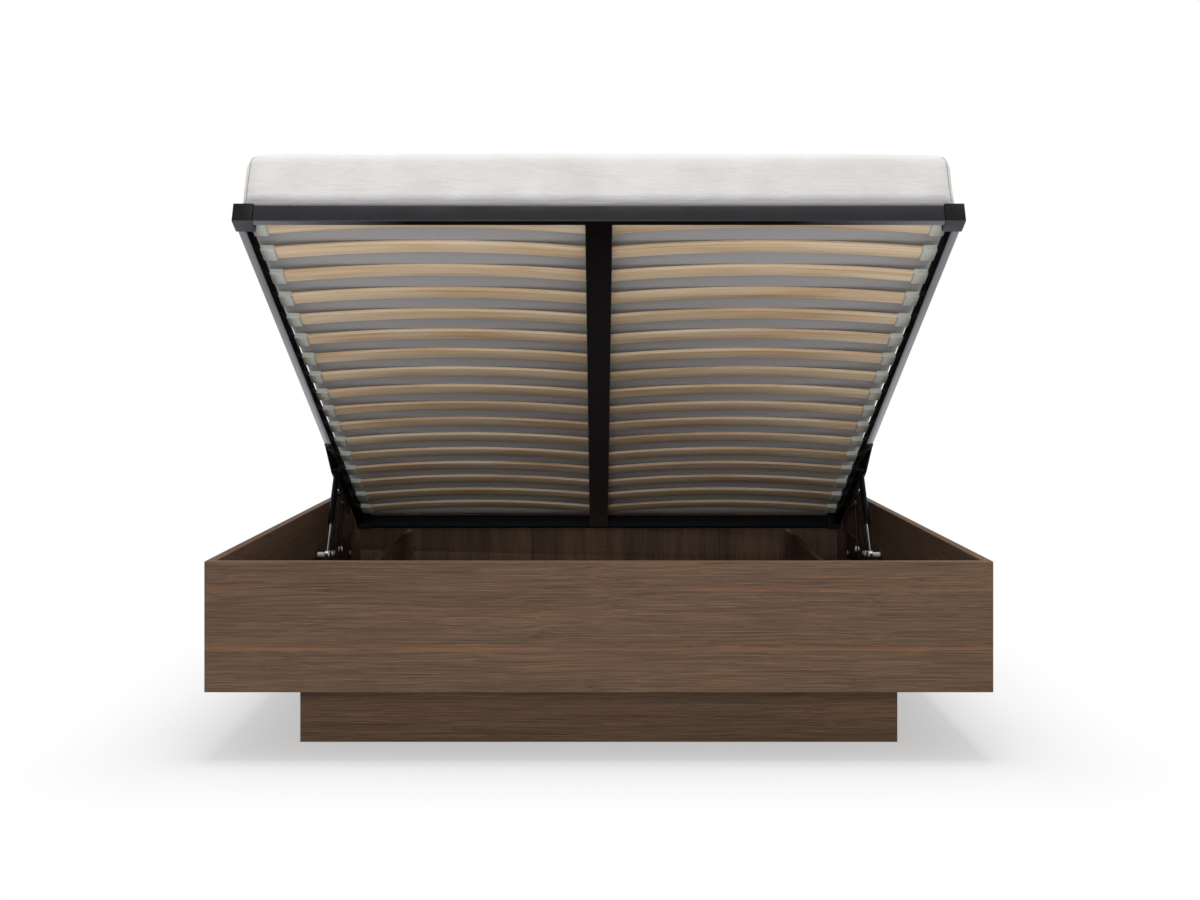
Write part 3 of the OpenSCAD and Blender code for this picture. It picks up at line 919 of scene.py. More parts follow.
def soft_noise(points: np.ndarray, cell: tuple[float, float, float], seed: int) -> np.ndarray:
    """Smooth noise from -1 to 1: random values on a lattice, eased between on each axis.

    Args:
        points: places as (points, 3).
        cell: the lattice's spacing on each axis.
        seed: picks the random values.

    Returns:
        One value for each point.
    """
    size = 64
    values = np.random.default_rng(seed).uniform(-1.0, 1.0, (size, size, size))
    scaled = points / np.array(cell) + size / 2
    base = np.floor(scaled).astype(int)
    part = eased(scaled - base)
    total = np.zeros(len(points))
    for corner in range(8):
        bits = np.array([corner & 1, corner >> 1 & 1, corner >> 2 & 1])
        weight = np.prod(np.where(bits == 1, part, 1.0 - part), axis=1)
        spot = (base + bits) % size
        total += weight * values[spot[:, 0], spot[:, 1], spot[:, 2]]
    return total


def softened(node: Piece, width: float, name: str) -> Piece:
    """Copies a CAD node, merges the copy's loose triangles and rounds its edges with a bevel.

    Args:
        node: the CAD node, which is left alone.
        width: the bevel's width.
        name: the copy's name.

    Returns:
        The new piece, in the node's place.
    """
    mesh = bpy.data.meshes.new(name)
    shell = bmesh.new()
    shell.from_mesh(node.data)
    bmesh.ops.remove_doubles(shell, verts=shell.verts, dist=0.002 * MM)
    bmesh.ops.dissolve_limit(
        shell, angle_limit=math.radians(0.5), verts=shell.verts, edges=shell.edges
    )
    shell.to_mesh(mesh)
    shell.free()
    mesh.shade_smooth()
    piece = add_object(name, mesh)
    bevel = piece.modifiers.new("edge radius", "BEVEL")
    bevel.width = width
    bevel.segments = 2
    bevel.limit_method = "ANGLE"
    bevel.angle_limit = math.radians(35)
    bevel.harden_normals = True
    return piece


def place(piece: Piece, body: str, slot: str, material: Material, *nodes: str) -> None:
    """Dresses a new piece and hangs it on its body.

    Args:
        piece: the new piece.
        body: the body that it rides on.
        slot: the record's material slot; not used.
        material: its finish.
        nodes: the CAD nodes that it stands for.
    """
    piece.data.materials.clear()
    piece.data.materials.append(material)
    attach(piece, body)
    if nodes:
        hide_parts(*nodes)
    LOG.info("%s: %d faces on %s", piece.name, len(piece.data.polygons), body)


def dress(node: Piece, material: Material) -> None:
    """Gives a CAD node its finish, in its own material slots.

    Args:
        node: the CAD node.
        material: its finish.
    """
    if not node.material_slots:
        node.data.materials.append(material)
    for slot in node.material_slots:
        slot.material = material
    LOG.info("%s keeps its CAD shape, in %s", node.name, material.name)


# --- Sub-assemblies ---------------------------------------------------------------------


@dataclass
class StorageBox:
    """The laminate box on its set-back plinth, with floor panels and dividers."""

    edge_radius: float = 1.0 * MM
    # The plinth's height, and the depth of the painted shadow at its top.
    plinth_height: float = 0.115
    plinth_shade: float = 40 * MM

    def build(self, nodes: dict[str, Piece]) -> None:
        """Dresses each board with its grain in the direction that it was cut.

        Args:
            nodes: the CAD nodes by name.
        """
        across = WalnutLaminate("walnut laminate, grain across", streaks=(0.236, 0.36)).build()
        along = WalnutLaminate("walnut laminate, grain along", grain=Grain.LENGTHWISE).build()
        upright = WalnutLaminate(
            "walnut laminate, grain upright",
            grain=Grain.UPRIGHT,
            plank_axis="X",
            plank_seam=0.05,
            plank_width=0.14,
            banding=0.34,
        ).build()
        # A plinth board is one plank of a plainer print, with painted shadow where the box
        # overhangs it.
        plain = {"dark": "#37291f", "middle": "#624d3d", "light": "#82664d"}
        plain |= {"plank_seam": -1.0, "plank_width": 5.0}
        plinth = WalnutLaminate(
            "plinth laminate",
            rim=self.plinth_height,
            rim_depth=self.plinth_shade,
            rim_band_and_painted_light="#20160f",
            **plain,
        ).build()
        plinth_side = WalnutLaminate(
            "plinth laminate, grain along", grain=Grain.LENGTHWISE, rim=5.0, **plain
        ).build()
        for slot, material, *names in (
            ("walnut_laminate", across, "front_board"),
            ("walnut_laminate", upright, "rear_board"),
            ("walnut_laminate", along, "side_board_left", "side_board_right"),
            ("plinth_laminate", plinth, "plinth_front", "plinth_rear"),
            ("plinth_laminate", plinth_side, "plinth_left", "plinth_right"),
            ("plinth_laminate", plinth, "plinth_brace"),
            ("inner_laminate", along, "floor_panel_foot", "floor_panel_head"),
            ("inner_laminate", along, "divider_left", "divider_right"),
            ("inner_laminate", across, "rest_batten"),
        ):
            for name in names:
                board = softened(nodes[name], self.edge_radius, f"{name}_dressed")
                place(board, "box", slot, material, name)
        dress(nodes["corner_dowels"], BeechDowel("turned beech").build())


@dataclass
class SlattedBase:
    """The steel frame with its corner sleeves, cambered half slats and their pockets."""

    frame: BaseFrame
    rail_x: float = 0.795
    length: float = 2.01
    tube_w: float = 20 * MM
    tube_h: float = 40 * MM
    wall: float = 1.5 * MM
    tube_radius: float = 2.5 * MM
    centre_w: float = 60 * MM
    centre_h: float = 28 * MM
    rows: int = 17
    slat_end: float = 93 * MM
    slat_w: float = 46 * MM
    slat_t: float = 8 * MM
    slat_edge: float = 1.3 * MM
    slat_z: float = 31 * MM
    slat_in: float = 8 * MM
    slat_out: float = 8 * MM
    camber: float = 19 * MM
    stations: int = 29

    def tube(self, low: tuple, high: tuple, axis: int) -> np.ndarray:
        """A rectangular tube with rounded corners, out along its outer skin and back inside.

        Args:
            low: the lowest corner in the base's frame.
            high: the highest corner.
            axis: 0 for a tube along X, 1 for one along Y.

        Returns:
            Four rings that loop round: outer start, outer end, inner end, inner start.
        """
        low_corner, high_corner = np.array(low), np.array(high)
        middle, size = (low_corner + high_corner) / 2, high_corner - low_corner
        other, twice = 1 - axis, 2 * self.wall
        outer = rounded_section(size[other], size[2], self.tube_radius)
        inner = rounded_section(size[other] - twice, size[2] - twice, self.tube_radius - self.wall)
        rings = np.zeros((4, len(outer), 3))
        for ring, (section, end) in enumerate(
            [(outer, low_corner), (outer, high_corner), (inner, high_corner), (inner, low_corner)]
        ):
            rings[ring, :, axis] = end[axis]
            rings[ring, :, other] = middle[other] + section[:, 0]
            rings[ring, :, 2] = middle[2] + section[:, 1]
        return self.frame.to_world(rings)

    def build_tubes(self) -> None:
        """Makes the rails, the end beams and the centre beam."""
        # The foot beam's coat gets a pale painted sheen on its underside near the corners.
        coat = PowderCoat("black powder coat", ior=1.4, underside_sheen="#6c6e74", frame=self.frame).build()
        # The rails' underside grey is painted reflection, and its near black past the plates
        # painted shade.
        lacquer = LacqueredTube("black lacquer on drawn tube", frame=self.frame).build()
        dull = PowderCoat("matt black powder coat", gloss=(0.5, 0.6), ior=1.25).build()
        # The centre beam's coat is greyer towards the head end.
        worn = PowderCoat(
            "worn black powder coat", colour="#08080a", worn="#0c0c0e", ior=1.4, headward="#3c3d40"
        ).build()
        rail, side, foot = self.rail_x, self.rail_x - self.tube_w, -self.length
        top, centre = self.tube_h, self.centre_w / 2
        inside = foot + self.tube_w
        for name, finish, slot, axis, low, high in (
            ("rail_left", lacquer, "frame_steel", 1, (-rail, foot, 0.0), (-side, 0.0, top)),
            ("rail_right", lacquer, "frame_steel", 1, (side, foot, 0.0), (rail, 0.0, top)),
            ("foot_beam", coat, "frame_steel", 0, (-side, foot, 0.0), (side, inside, top)),
            ("head_beam", dull, "frame_steel", 0, (-side, -self.tube_w, 0.0), (side, 0.0, top)),
            (
                "centre_beam",
                worn,
                "centre_steel",
                1,
                (-centre, inside, 0.0),
                (centre, -self.tube_w, self.centre_h),
            ),
        ):
            skin = Skin()
            skin.add(self.tube(low, high, axis), looped=True)
            place(skin.make(f"{name}_tube"), "bed_base", slot, finish, name)

    def half_slat(self, row: int, side: int) -> tuple[np.ndarray, np.ndarray]:
        """One cambered half slat: its section along a parabola, z = 4 * camber * t * (1 - t).

        Args:
            row: the slat's row, from 0 at the head end.
            side: -1 for the left half, 1 for the right.

        Returns:
            Its rings in the box's frame, and each point's place along, across and through it.
        """
        t = np.linspace(0.0, 1.0, self.stations)[:, None]
        section = rounded_section(self.slat_w, self.slat_t, self.slat_edge)[None]
        span = self.rail_x - self.tube_w - self.slat_out - self.slat_in
        x = np.broadcast_to(self.slat_in + span * t, (self.stations, section.shape[1]))
        y = np.broadcast_to(section[..., 0], x.shape)
        h = np.broadcast_to(section[..., 1], x.shape)
        pitch = (self.length - 2 * self.slat_end) / (self.rows - 1)
        rise = 4 * self.camber * t * (1 - t)
        up = self.slat_z + self.slat_t / 2 + rise + h
        rings = np.stack([side * x, y - self.slat_end - row * pitch, up], axis=-1)
        # Each half slat is cut from another part of the wood's pattern.
        cut = 7.3 * row + (3.1 if side > 0 else 0.0)
        return self.frame.to_world(rings), np.stack([x + cut, y, h + self.slat_t / 2], axis=-1)

    def build_slats(self) -> None:
        """Makes each row's two half slats as one piece."""
        birch = BirchPly("lacquered birch plywood").build()
        for row in range(self.rows):
            skin = Skin()
            for side in (-1, 1):
                rings, notes = self.half_slat(row, side)
                skin.add(rings, notes=notes)
            name = f"slat_row_{row + 1:02d}"
            place(skin.make(f"{name}_bent", note="slat"), "bed_base", "birch", birch, name)

    def build_fittings(self, nodes: dict[str, Piece]) -> None:
        """Rounds the edges of the sleeves and slat pockets.

        Args:
            nodes: the CAD nodes by name.
        """
        # The sleeves' lighter underside is painted sheen.
        sleeve = MouldedPlastic(
            "black moulded nylon",
            colour="#07080a",
            worn="#0b0c0e",
            shine=0.16,
            under="#404248",
            under_level=-1.5 * MM,
            frame=self.frame,
        ).build()
        cap = MouldedPlastic(
            "grey-green moulded polypropylene", colour="#cacbc2", worn="#d5d6cd", roughness=0.42
        ).build()
        holder = MouldedPlastic(
            "dark moulded polypropylene", colour="#17181a", worn="#1f2022"
        ).build()
        for name, width, slot, material in (
            ("corner_sleeves", 1.2 * MM, "sleeve_plastic", sleeve),
            ("slat_caps", 0.9 * MM, "cap_plastic", cap),
            ("slat_centre_holders", 0.9 * MM, "holder_plastic", holder),
        ):
            piece = softened(nodes[name], width, f"{name}_moulded")
            place(piece, "bed_base", slot, material, name)

    def build(self, nodes: dict[str, Piece]) -> None:
        """Builds the whole base.

        Args:
            nodes: the CAD nodes by name.
        """
        self.build_tubes()
        self.build_slats()
        self.build_fittings(nodes)


@dataclass
class Mattress:
    """A foam mattress in a stretched jersey cover, with a piped seam down each corner."""

    frame: BaseFrame
    width: float = 1.59
    length: float = 1.985
    height: float = 0.136
    # Its underside's height in the base's frame, and the length of the base that it is centred on.
    bottom: float = 58.3 * MM
    base_length: float = 2.01
    crown: float = 5 * MM
    corner_radius: float = 50 * MM
    top_radius: float = 32 * MM
    foot_radius: float = 9 * MM
    cell: float = 18 * MM
    # How far the long sides pull in halfway along.
    waist: float = 11 * MM
    # The underside drops near the rails, and more onto the end beams: how far, from where and
    # over what run. The sides' place is from the middle, and the ends' is from their edge.
    side_dip: tuple[float, float, float] = (2 * MM, 0.66, 80 * MM)
    end_dip: tuple[float, float, float] = (13 * MM, 50 * MM, 30 * MM)
    # The cover starts this much smaller, and pressure may move it out by swell or in by draw.
    inset: float = 0.5 * MM
    swell: float = 6 * MM
    draw: float = 0.5 * MM
    sim_frames: int = 20
    # Creases: spacing along each axis and seed of the broad ones and the small ones, and depth.
    broad: tuple = ((0.13, 0.13, 0.05), 11)
    small: tuple = ((0.075, 0.075, 0.026), 23)
    crease_depth: float = 1.8 * MM
    # The greyer border, painted shade, starts this far under the top, and gets this share of the
    # underside's tone.
    border_top: float = 18 * MM
    border_run: float = 18 * MM
    border_share: float = 0.33
    seam_radius: float = 1.5 * MM
    seam_points: int = 40

    def half(self) -> np.ndarray:
        """Half the cover's size before it swells."""
        sides = [self.width / 2 - self.inset, self.length / 2 - self.inset, self.height / 2]
        return np.array(sides)

    def middle(self) -> np.ndarray:
        """The middle of the mattress in the base's frame."""
        return np.array([0.0, -self.base_length / 2, self.bottom + self.height / 2])

    def own(self, piece: Piece) -> np.ndarray:
        """A piece's points in the mattress's own frame, about its middle."""
        return self.frame.from_world(read_points(piece.data)) - self.middle()

    def spread(self, low: float, high: float, low_radius: float, high_radius: float) -> np.ndarray:
        """Grid places on one axis: even in the flat part, and radius * tan(a) apart at each edge.

        Args:
            low: the lowest place.
            high: the highest place.
            low_radius: the rounding at the low end.
            high_radius: the rounding at the high end.

        Returns:
            The places in order.
        """
        steps = np.tan(np.linspace(0.0, math.pi / 4, 5)[1:])
        first, last = low + low_radius, high - high_radius
        flat = np.linspace(first, last, max(2, round((last - first) / self.cell)) + 1)
        return np.concatenate(
            [(first - low_radius * steps)[::-1], flat, last + high_radius * steps]
        )

    def box_grid(self) -> tuple[np.ndarray, np.ndarray]:
        """The faces of the plain box, each a grid of two of the axes at an end of the third.

        Returns:
            Its points as (points, 3), and its faces as (faces, 4).
        """
        half, turn = self.half(), self.corner_radius
        lines = [
            self.spread(-half[0], half[0], turn, turn),
            self.spread(-half[1], half[1], turn, turn),
            self.spread(-half[2], half[2], self.foot_radius, self.top_radius),
        ]
        points, faces, count = [], [], 0
        for axis in range(3):
            u, v = [k for k in range(3) if k != axis]
            grid_u, grid_v = np.meshgrid(lines[u], lines[v], indexing="ij")
            for end in (-1, 1):
                sheet = np.zeros((*grid_u.shape, 3))
                sheet[..., u], sheet[..., v], sheet[..., axis] = grid_u, grid_v, end * half[axis]
                index = count + np.arange(grid_u.size).reshape(grid_u.shape)
                corners = [index[:-1, :-1], index[1:, :-1], index[1:, 1:], index[:-1, 1:]]
                points.append(sheet.reshape(-1, 3))
                faces.append(np.stack(corners, axis=-1).reshape(-1, 4))
                count += grid_u.size
        return np.concatenate(points), np.concatenate(faces)

    def rounded(self, box: np.ndarray) -> np.ndarray:
        """Rounds the box: first its corners in plan, then its upper and lower edges.

        In plan, the square outside the core becomes a quarter disc of the same reach. Then the
        reach and the height are drawn to the arc of the edge's radius. The top is crowned, the
        long sides pull in between their corners, and the underside drops near the rails and onto
        the end beams.

        Args:
            box: the plain box's points about its middle.

        Returns:
            The rounded points.
        """
        half = self.half()
        core = np.clip(box[:, :2], self.corner_radius - half[:2], half[:2] - self.corner_radius)
        away = box[:, :2] - core
        heading = away / np.maximum(np.linalg.norm(away, axis=1), 1e-9)[:, None]
        reach, height = np.abs(away).max(axis=1), box[:, 2]
        radius = np.where(height > 0, self.top_radius, self.foot_radius)
        inner = np.minimum(reach, self.corner_radius - radius)
        level = np.clip(height, self.foot_radius - half[2], half[2] - self.top_radius)
        out = np.stack([reach - inner, height - level], axis=-1)
        size = np.linalg.norm(out, axis=1)
        arc = out * (radius / np.maximum(size, 1e-9))[:, None]
        out = np.where((size > radius)[:, None], arc, out)
        plan = core + heading * (inner + out[:, 0])[:, None]
        shell = np.column_stack([plan, level + out[:, 1]])
        along, across = shell[:, 1] / half[1], shell[:, 0] / half[0]
        upper = np.clip(shell[:, 2] / half[2], 0.0, 1.0)
        rise = self.crown * upper * (1 - np.abs(across) ** 3) * (1 - 0.8 * np.abs(along) ** 3)
        shell[:, 2] += rise
        shell[:, 0] *= 1 - self.waist / half[0] * (1 - along**2)
        side_dip, side_from, side_run = self.side_dip
        end_dip, end_from, end_run = self.end_dip
        beside = eased((np.abs(shell[:, 0]) - side_from) / side_run)
        beyond = eased((np.abs(shell[:, 1]) - half[1] + end_from) / end_run)
        sag = np.maximum(side_dip * beside, end_dip * beyond)
        shell[:, 2] -= sag * np.clip(-shell[:, 2] / half[2], 0.0, 1.0)
        return shell

    def shell(self) -> Piece:
        """Makes the closed cover, before it is blown out.

        Returns:
            The cover.
        """
        box, faces = self.box_grid()
        mesh = bpy.data.meshes.new("mattress_cover")
        points = self.frame.to_world(self.rounded(box) + self.middle())
        mesh.from_pydata(points.tolist(), [], faces.tolist())
        sewn = bmesh.new()
        sewn.from_mesh(mesh)
        bmesh.ops.remove_doubles(sewn, verts=sewn.verts, dist=0.1 * MM)
        bmesh.ops.recalc_face_normals(sewn, faces=sewn.faces)
        sewn.to_mesh(mesh)
        sewn.free()
        mesh.shade_smooth()
        return add_object("mattress_cover", mesh)

    def blow_out(self, piece: Piece) -> None:
        """Lets pressure swell the cover with Cloth, keeps the moves short and applies them.

        Args:
            piece: the cover, whose underside stays on the slats.
        """
        mesh = piece.data
        start = read_points(mesh)
        low = self.own(piece)[:, 2] < self.foot_radius - self.height / 2
        group = piece.vertex_groups.new(name="on the slats")
        group.add(np.nonzero(low)[0].tolist(), 1.0, "REPLACE")
        # Light, stretchy cloth that grows by 1.2% and is blown up, without gravity.
        cloth = piece.modifiers.new("cover", "CLOTH")
        for name, value in {
            "quality": 4,
            "mass": 0.3,
            "tension_stiffness": 12.0,
            "compression_stiffness": 12.0,
            "shear_stiffness": 4.0,
            "bending_stiffness": 0.4,
            "use_pressure": True,
            "uniform_pressure_force": 4.0,
            "shrink_min": -0.012,
            "vertex_group_mass": group.name,
        }.items():
            setattr(cloth.settings, name, value)
        cloth.settings.effector_weights.gravity = 0.0
        cloth.collision_settings.use_collision = False
        cloth.point_cache.frame_start = 1
        cloth.point_cache.frame_end = self.sim_frames
        scene = bpy.context.scene
        for step in range(1, self.sim_frames + 1):
            scene.frame_set(step)
        evaluated = piece.evaluated_get(bpy.context.evaluated_depsgraph_get())
        shift = read_points(evaluated.data) - start
        normals = read_normals(mesh)
        outward = (shift * normals).sum(axis=1)
        shift = np.clip(outward, -self.draw, self.swell)[:, None] * normals
        LOG.info("cover moved by %.1f to %.1f mm outwards", outward.min() / MM, outward.max() / MM)
        piece.modifiers.remove(cloth)
        piece.vertex_groups.remove(group)
        scene.frame_set(1)
        mesh.vertices.foreach_set("co", (start + shift).ravel())
        mesh.update()

    def crease(self, piece: Piece) -> None:
        """Adds soft pulls: noise stretched along the sides and slanted near the corners.

        Args:
            piece: the cover.
        """
        mesh = piece.data
        own = self.own(piece)
        # From 300 mm off the middle the pulls lean over, by up to 0.9 of their height.
        slant = 0.9 * np.clip(np.abs(own[:, 0]) / 0.5 - 0.6, 0.0, 1.0) * own[:, 2]
        slanted = own + np.stack([slant, slant, np.zeros(len(own))], axis=-1)
        pulls = soft_noise(slanted, *self.broad) - np.abs(soft_noise(slanted, *self.small))
        # The lowest 6 mm stay smooth, and the pulls reach their depth 20 mm above.
        upper = np.clip((own[:, 2] + self.height / 2 - 6 * MM) / (20 * MM), 0.0, 1.0)
        depth = self.crease_depth * pulls * upper
        moved = read_points(mesh) + depth[:, None] * read_normals(mesh)
        mesh.vertices.foreach_set("co", moved.ravel())
        mesh.update()

    def mark_underside(self, piece: Piece) -> None:
        """Marks the greyer border and the underside, painted shade, in the attribute that the
        finish reads.

        Args:
            piece: the cover.
        """
        below = self.height / 2 - self.own(piece)[:, 2]
        border = np.clip((below - self.border_top) / self.border_run, 0.0, 1.0)
        # The underside's painted shade comes in over the last millimetre.
        under = np.clip((below - self.height + 1.5 * MM) / MM, 0.0, 1.0)
        share = self.border_share * border + (1.0 - self.border_share) * under
        attribute = piece.data.attributes.new("under", "FLOAT", "POINT")
        attribute.data.foreach_set("value", share.astype(np.float32))

    def corner_seams(self, cover: Piece) -> Piece:
        """Makes the piping down each corner, laid on the swollen cover.

        Args:
            cover: the finished cover.

        Returns:
            The four lengths of piping as one piece.
        """
        mesh = cover.evaluated_get(bpy.context.evaluated_depsgraph_get()).data
        tree = BVHTree.FromPolygons(
            [vertex.co for vertex in mesh.vertices], [tuple(p.vertices) for p in mesh.polygons]
        )
        half = self.half()
        # The piping runs from the lower edge to 5 mm under the top, on the corner's diagonal.
        low, high = self.foot_radius - half[2], half[2] - 5 * MM
        level = low + np.linspace(0.0, 1.0, self.seam_points) * (high - low)
        over = np.clip(level - (half[2] - self.top_radius), 0.0, self.top_radius)
        reach = self.corner_radius - self.top_radius + np.sqrt(self.top_radius**2 - over**2)
        x, y = (half[axis] - self.corner_radius + reach / math.sqrt(2.0) for axis in (0, 1))
        skin = Skin()
        for side_x in (-1, 1):
            for side_y in (-1, 1):
                own = np.stack([side_x * x, side_y * y, level], axis=-1)
                guess = self.frame.to_world(own + self.middle())
                found = [tree.find_nearest(Vector(point)) for point in guess]
                path, outward = (np.array([hit[part] for hit in found]) for part in (0, 1))
                skin.add(threaded(path, self.seam_radius, outward))
        return skin.make("mattress_corner_piping", sharp=80.0)

    def build(self) -> None:
        """Builds the cover, swells it, creases it and sews its corners."""
        jersey = KnitCover("white cotton jersey").build()
        # The piping's darker grey is painted shade for the groove of the seam.
        piping = KnitCover("cotton piping", colour="#a8a39e", shade="#96918c").build()
        cover = self.shell()
        self.blow_out(cover)
        self.crease(cover)
        self.mark_underside(cover)
        smooth = cover.modifiers.new("smooth", "SUBSURF")
        smooth.levels = 1
        smooth.render_levels = 1
        place(cover, "bed_base", "mattress_cloth", jersey, "mattress")
        place(self.corner_seams(cover), "bed_base", "mattress_cloth", piping)


@dataclass
class LiftMechanism:
    """The links, the gas springs and the plates that carry them."""

    wall_x: float = 0.81
    plate_t: float = 3 * MM
    plate_edge: float = 0.4 * MM
    # Each lower screw's place, as Y and Z.
    screws: tuple[tuple[float, float], ...] = (
        (0.145, 0.252),
        (0.316, 0.276),
        (0.468, 0.2579),
        (0.775, 0.2214),
    )
    gas_x: float = 0.78
    # The gas rod's lower pivot, as Y and Z, and how much of the rod shows at rest.
    gas_pivot: tuple[float, float] = (0.18, 0.287)
    exposed: float = 104 * MM
    cylinder_r: float = 9 * MM

    def build_screws(self, zinc: Material) -> None:
        """Makes domed screw heads with a round socket, on the lower plates.

        Args:
            zinc: the screws' finish.
        """
        # Radius and distance in millimetres: the socket, the dome, its rim and the shank.
        socket = [[0.1, 0.9], [2.4, 0.9], [2.5, 2.7]]
        dome = [[4.4, 2.5], [5.8, 1.7], [6.4, 0.6], [6.5, 0.0]]
        shank = [[3.0, 0.0], [3.0, -14.6], [0.1, -15.0]]
        profile = np.array(socket + dome + shank) * MM
        skin = Skin()
        for side in (-1, 1):
            for y, z in self.screws:
                start = np.array([side * (self.wall_x - self.plate_t), y, z])
                skin.add(turned(profile, start, np.array([-side, 0.0, 0.0]), 24))
        screws = skin.make("plate_screws", sharp=50.0)
        place(screws, "box", "zinc_steel", zinc, "lower_bracket_bolts")

    def build_collars(self, joints: list[dict], enamel: Material, rubber: Material) -> None:
        """Makes the rolled end and the wiper seal of each gas cylinder.

        Args:
            joints: the record's joints, which give the springs' axis.
            enamel: the cylinder's finish.
            rubber: the seal's finish.
        """
        axis = np.array(next(j["axis"] for j in joints if j["name"] == "gas_rod_slide"))
        axis = axis / np.linalg.norm(axis)
        r = self.cylinder_r / MM
        # Radius and distance in millimetres from the cylinder's open end.
        roll = [[r - 0.2, 0.0], [r + 0.5, 0.8], [r + 0.5, 5.0], [r - 0.6, 6.5], [r + 0.4, 8.0]]
        roll += [[r - 0.2, 9.5]]
        seal = [[4.3, -3.0], [6.5, -3.0], [7.5, -1.6], [7.6, 0.0], [4.3, 0.0]]
        for name, profile, material, looped in (
            ("gas_cylinder_rolled_ends", roll, enamel, False),
            ("gas_cylinder_seals", seal, rubber, True),
        ):
            skin = Skin()
            for side in (-1, 1):
                start = np.array([side * self.gas_x, *self.gas_pivot]) + axis * self.exposed
                skin.add(turned(np.array(profile) * MM, start, axis, 32), looped=looped)
            place(skin.make(name, sharp=50.0), "gas_cylinders", "cylinder_paint", material)

    def build(self, nodes: dict[str, Piece], joints: list[dict]) -> None:
        """Dresses the mechanism's CAD nodes and adds its small turned pieces.

        Args:
            nodes: the CAD nodes by name.
            joints: the record's joints.
        """
        steel = PowderCoat("black powder coat on plate", gloss=(0.4, 0.55), ior=1.4).build()
        brown = PowderCoat(
            "brown powder coat on plate",
            colour="#42322a",
            worn="#4c3a2f",
            gloss=(0.5, 0.6),
            ior=1.25,
        ).build()
        zinc = PlatedSteel(
            "zinc flake coat", colour="#f8f9fa", dull="#e4e7ea", metallic=0.35
        ).build()
        chrome = PlatedSteel(
            "hard chrome", colour="#dfe1e3", dull="#cfd2d5", roughness=0.09
        ).build()
        enamel = PowderCoat("black cylinder enamel", gloss=(0.35, 0.45), ior=1.15).build()
        rubber = MouldedPlastic("black nitrile rubber", colour="#141414", worn="#1c1c1c").build()
        oxide = PowderCoat("black oxide steel", gloss=(0.45, 0.6), ior=1.35).build()
        for part, body, finish in (
            ("lower_bracket", "box", brown),
            ("upper_bracket", "bed_base", steel),
            ("rear_link", "rear_links", steel),
            ("front_link", "front_links", steel),
        ):
            for name in (f"{part}_left", f"{part}_right"):
                plate = softened(nodes[name], self.plate_edge, f"{name}_pressed")
                place(plate, body, "bracket_steel", finish, name)
        for material, *names in (
            (oxide, "upper_pivot_pins", "upper_bracket_bolts", "front_link_studs"),
            (zinc, "lower_pivot_pins", "gas_rod_studs"),
            (enamel, "gas_cylinder_left", "gas_cylinder_right"),
            (chrome, "gas_rod_left", "gas_rod_right"),
        ):
            for name in names:
                dress(nodes[name], material)
        self.build_screws(zinc)
        self.build_collars(joints, enamel, rubber)


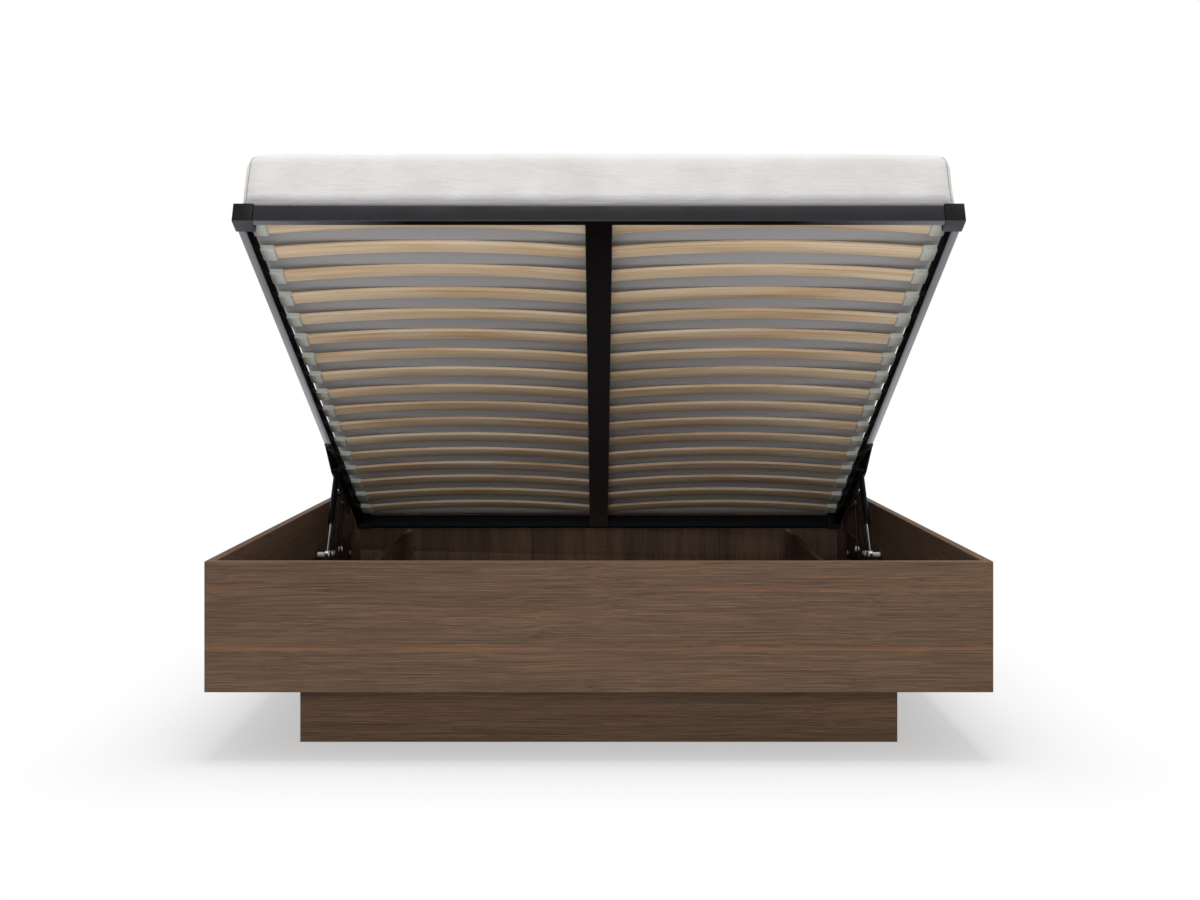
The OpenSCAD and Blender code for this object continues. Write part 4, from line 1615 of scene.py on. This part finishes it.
@dataclass
class Studio:
    """The white studio: floor, soft light and the camera at the photograph's viewpoint."""

    picture_w: int = 1200
    picture_h: int = 900
    lens_mm: float = 48.0
    sensor_mm: float = 36.0
    eye: tuple[float, float, float] = (0.0, -4.411, 0.842)
    horizon_px: float = 361.0
    centre_px: float = 598.8
    sky: float = 0.62
    floor_glow: float = 0.44
    floor_size: float = 60.0
    floor_tone: float = 0.92
    # Half the box's size in plan, and how far outside it the floor fades to plain white.
    footprint: tuple[float, float, float] = (0.83, 1.045, 0.0)
    fade: float = 0.4
    # Each panel's name, place, the point that it faces, its size and its power in watts.
    panels: tuple = (
        ("front panel", (-0.5, -7.5, 1.15), (0.0, -0.6, 0.7), 2.0, 106.0),
        ("top panel", (0.3, -0.3, 12.0), (0.0, -0.3, 0.4), 3.6, 480.0),
    )

    def build_camera(self) -> None:
        """Sets a level camera on the bed's middle; its shift puts the horizon on its pixel row."""
        data = bpy.data.cameras.new("camera")
        data.lens = self.lens_mm
        data.sensor_fit = "HORIZONTAL"
        data.sensor_width = self.sensor_mm
        data.shift_x = (self.picture_w / 2 - self.centre_px) / self.picture_w
        data.shift_y = -(self.picture_h / 2 - self.horizon_px) / self.picture_w
        data.clip_end = 200.0
        camera = add_object("camera", data)
        camera.location = self.eye
        camera.rotation_euler = (math.pi / 2, 0.0, 0.0)
        bpy.context.scene.camera = camera

    def seen_rays(self, tree: Tree) -> Node:
        """The rays that should meet a white background: camera, glossy and transmission.

        Args:
            tree: the node tree.

        Returns:
            The node that gives 1 for such a ray.
        """
        path = add_node(tree, "LightPath").outputs
        first = {0: path["Is Camera Ray"], 1: path["Is Glossy Ray"]}
        mirrored = add_node(tree, "Math", {"operation": "MAXIMUM", **first})
        second = {0: mirrored, 1: path["Is Transmission Ray"]}
        return add_node(tree, "Math", {"operation": "MAXIMUM", **second})

    def build_world(self) -> None:
        """Gives an even sky for light, and plain white where it is seen."""
        world = bpy.data.worlds.new("studio")
        bpy.context.scene.world = world
        world.use_nodes = True
        tree = world.node_tree
        tree.nodes.clear()
        light = add_node(tree, "Background", {"Color": (1, 1, 1, 1), "Strength": self.sky})
        white = add_node(tree, "Background", {"Color": (1, 1, 1, 1), "Strength": 1.0})
        mixed = add_node(tree, "MixShader", {0: self.seen_rays(tree), 1: light, 2: white})
        add_node(tree, "OutputWorld", {"Surface": mixed})

    def build_floor(self) -> None:
        """Lays a white floor that keeps the shadow near the bed and fades to plain white beyond.

        The fade grows with the distance from the box's outline in plan.
        """
        half = self.floor_size / 2
        mesh = bpy.data.meshes.new("floor")
        corners = [(-half, -half, 0.0), (half, -half, 0.0), (half, half, 0.0), (-half, half, 0.0)]
        mesh.from_pydata(corners, [], [(0, 1, 2, 3)])
        floor = add_object("floor", mesh)
        material = bpy.data.materials.new("white studio floor")
        material.use_nodes = True
        tree = material.node_tree
        tree.nodes.clear()
        where = add_node(tree, "TexCoord").outputs["Object"]
        aside = add_node(tree, "VectorMath", {"operation": "ABSOLUTE", 0: where})
        past = add_node(tree, "VectorMath", {"operation": "SUBTRACT", 0: aside, 1: self.footprint})
        outside = add_node(tree, "VectorMath", {"operation": "MAXIMUM", 0: past, 1: (0, 0, 0)})
        reach = add_node(tree, "VectorMath", {"operation": "LENGTH", 0: outside}).outputs["Value"]
        span = {"From Max": self.fade, "To Min": self.floor_glow}
        glow = add_node(tree, "MapRange", {"Value": reach, **span})
        seen = add_node(tree, "Math", {"operation": "MULTIPLY", 0: glow, 1: self.seen_rays(tree)})
        matt = add_node(tree, "BsdfDiffuse", {"Color": (*(self.floor_tone,) * 3, 1)})
        white = add_node(tree, "Emission", {"Color": (1, 1, 1, 1), "Strength": 1.0})
        mixed = add_node(tree, "MixShader", {0: seen, 1: matt, 2: white})
        add_node(tree, "OutputMaterial", {"Surface": mixed})
        mesh.materials.append(material)

    def build_lamps(self) -> None:
        """Hangs soft panels in front of the bed and above it."""
        for name, spot, aim, size, power in self.panels:
            lamp = bpy.data.lights.new(name, "AREA")
            lamp.shape = "SQUARE"
            lamp.size = size
            lamp.energy = power
            hung = add_object(name, lamp)
            hung.location = spot
            facing = Vector(aim) - Vector(spot)
            hung.rotation_euler = facing.to_track_quat("-Z", "Y").to_euler()

    def build(self) -> None:
        """Builds the studio around the bed and sets the view transform."""
        self.build_world()
        self.build_floor()
        self.build_lamps()
        bpy.context.scene.view_settings.view_transform = "Standard"


def main() -> None:
    """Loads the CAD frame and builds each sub-assembly on it."""
    logging.basicConfig(level=logging.INFO, format="%(name)s: %(message)s")
    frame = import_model()
    nodes, joints = frame["nodes"], frame["joints"]
    studio = Studio()
    studio.build_camera()
    base = BaseFrame()
    StorageBox().build(nodes)
    SlattedBase(base).build(nodes)
    LiftMechanism().build(nodes, joints)
    Mattress(base).build()
    studio.build()
    bpy.context.view_layer.update()


if __name__ == "__main__":
    main()
